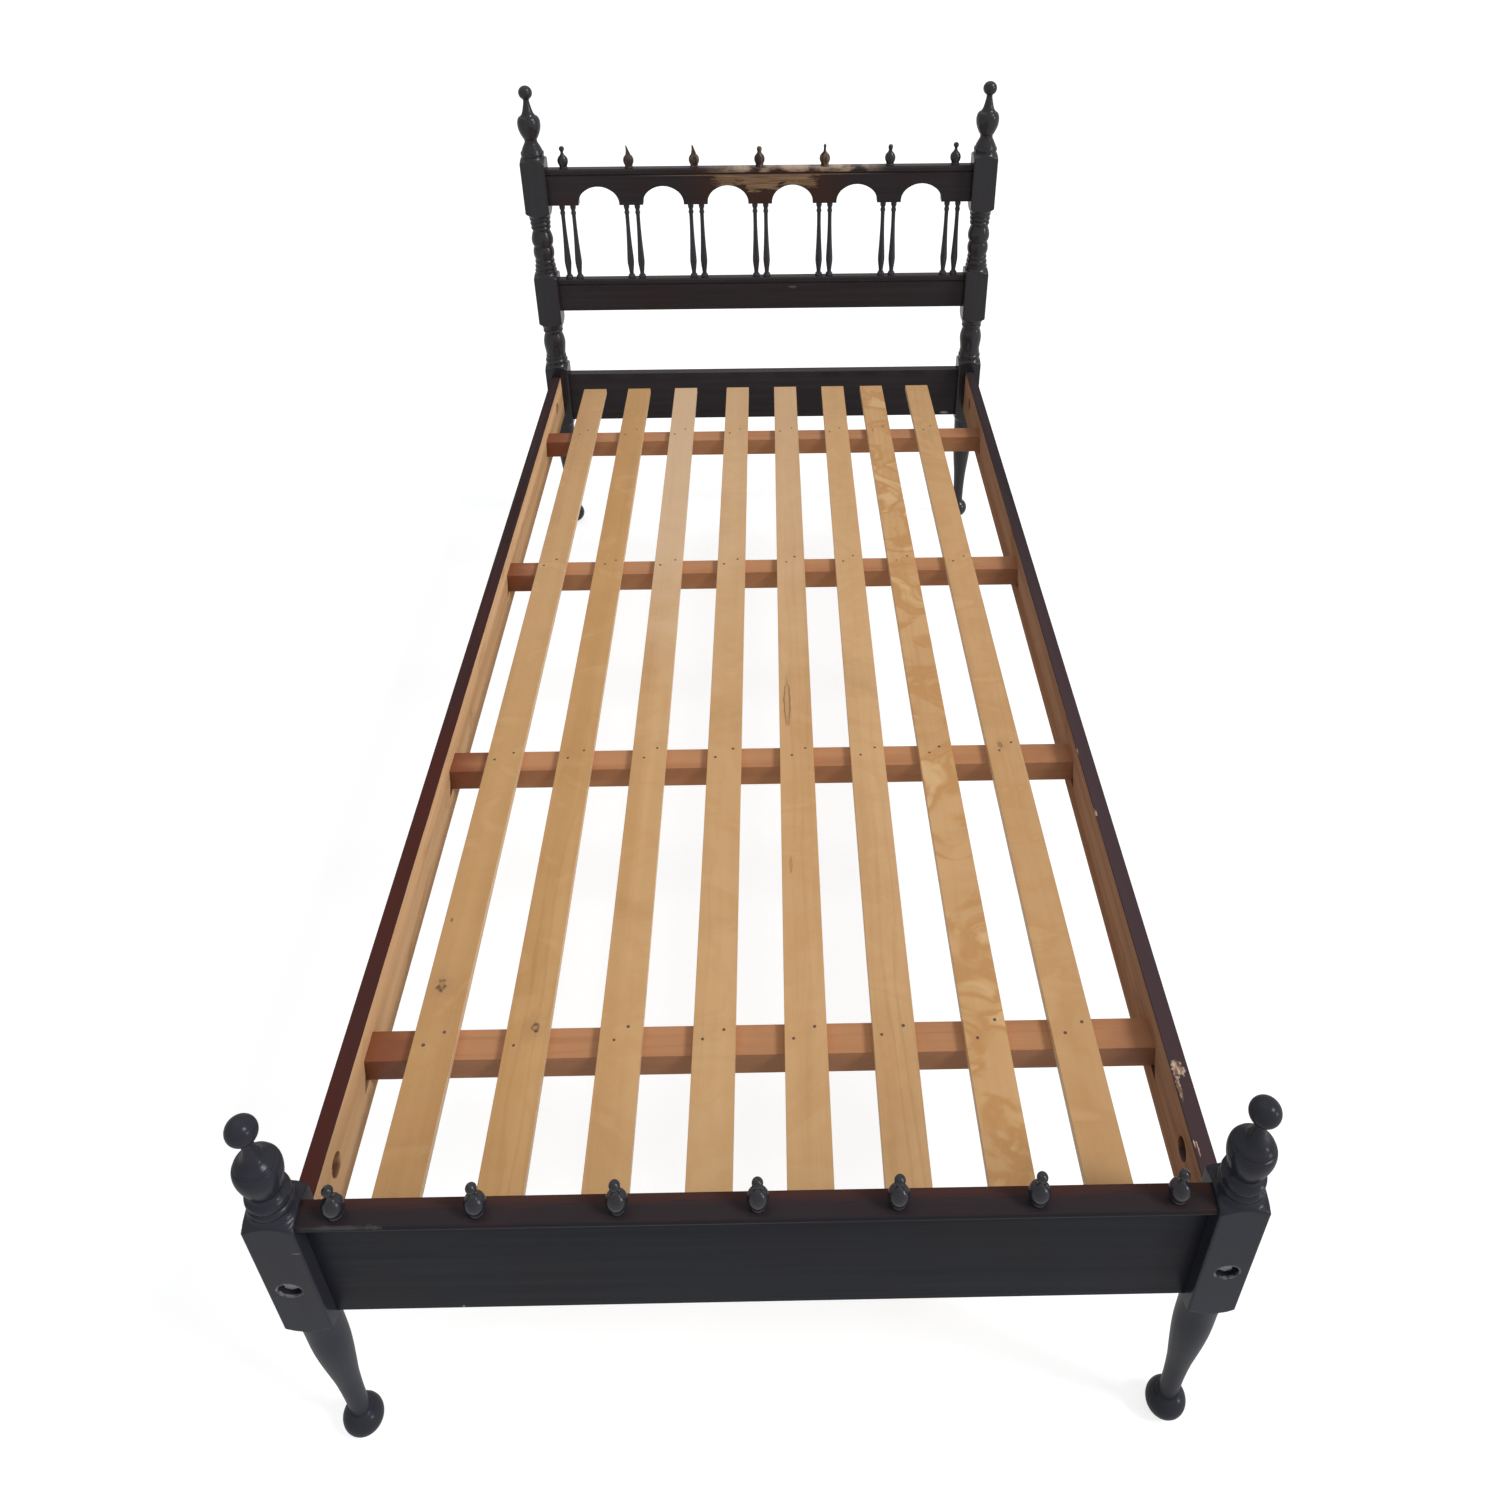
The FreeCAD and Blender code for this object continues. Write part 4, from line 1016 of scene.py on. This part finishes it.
def far_light(name, toward, power, angle):
    """A soft light from a direction, even over the whole floor."""
    lamp = bpy.data.lights.new(name, "SUN")
    lamp.energy = power
    lamp.angle = math.radians(angle)
    made = bpy.data.objects.new(name, lamp)
    made.rotation_mode = "QUATERNION"
    made.rotation_quaternion = Vector(toward).to_track_quat("Z", "Y")
    scene.collection.objects.link(made)


def make_lights():
    far_light("key", (0.88, -0.32, 1.0), 1.75, 16.0)
    far_light("low_side", (1.0, -0.42, 0.24), 0.60, 11.0)
    far_light("overhead", (-0.35, 0.55, 1.6), 0.40, 60.0)


# The photo's side, and the focal length and the middle of the view in its pixels.
PHOTO_SIDE = 1512.0
FOCAL = 1260.84
VIEW_MIDDLE = (791.26, 534.26)
SENSOR_WIDE = 36.0
YAW, TILT, ROLL = (math.radians(a) for a in (0.73, -33.67, -0.37))
STAND = (0.0279, -1.6419, 1.6918)


def make_camera():
    """Looks down from beyond the foot end, as the photo does."""
    forward = Vector((math.sin(YAW) * math.cos(TILT), math.cos(YAW) * math.cos(TILT), math.sin(TILT)))
    right = forward.cross(Vector((0, 0, 1))).normalized()
    up = right.cross(forward)
    rolled_right = right * math.cos(ROLL) + up * math.sin(ROLL)
    rolled_up = up * math.cos(ROLL) - right * math.sin(ROLL)
    lens = bpy.data.cameras.new("camera")
    lens.sensor_width = SENSOR_WIDE
    lens.lens = FOCAL / PHOTO_SIDE * SENSOR_WIDE
    lens.shift_x = 0.5 - VIEW_MIDDLE[0] / PHOTO_SIDE
    lens.shift_y = VIEW_MIDDLE[1] / PHOTO_SIDE - 0.5
    lens.clip_start = 0.05
    lens.clip_end = 200.0
    made = bpy.data.objects.new("camera", lens)
    made.location = STAND
    made.rotation_mode = "QUATERNION"
    made.rotation_quaternion = Matrix((rolled_right, rolled_up, -forward)).transposed().to_quaternion()
    scene.collection.objects.link(made)
    scene.camera = made


make_posts()
make_spindles()
make_finials()
dress_boards()
dress_slats()
dress_hardware()
make_nails()
make_stage()
make_world()
make_lights()
make_camera()
scene.view_settings.view_transform = "Standard"

bpy.context.view_layer.update()
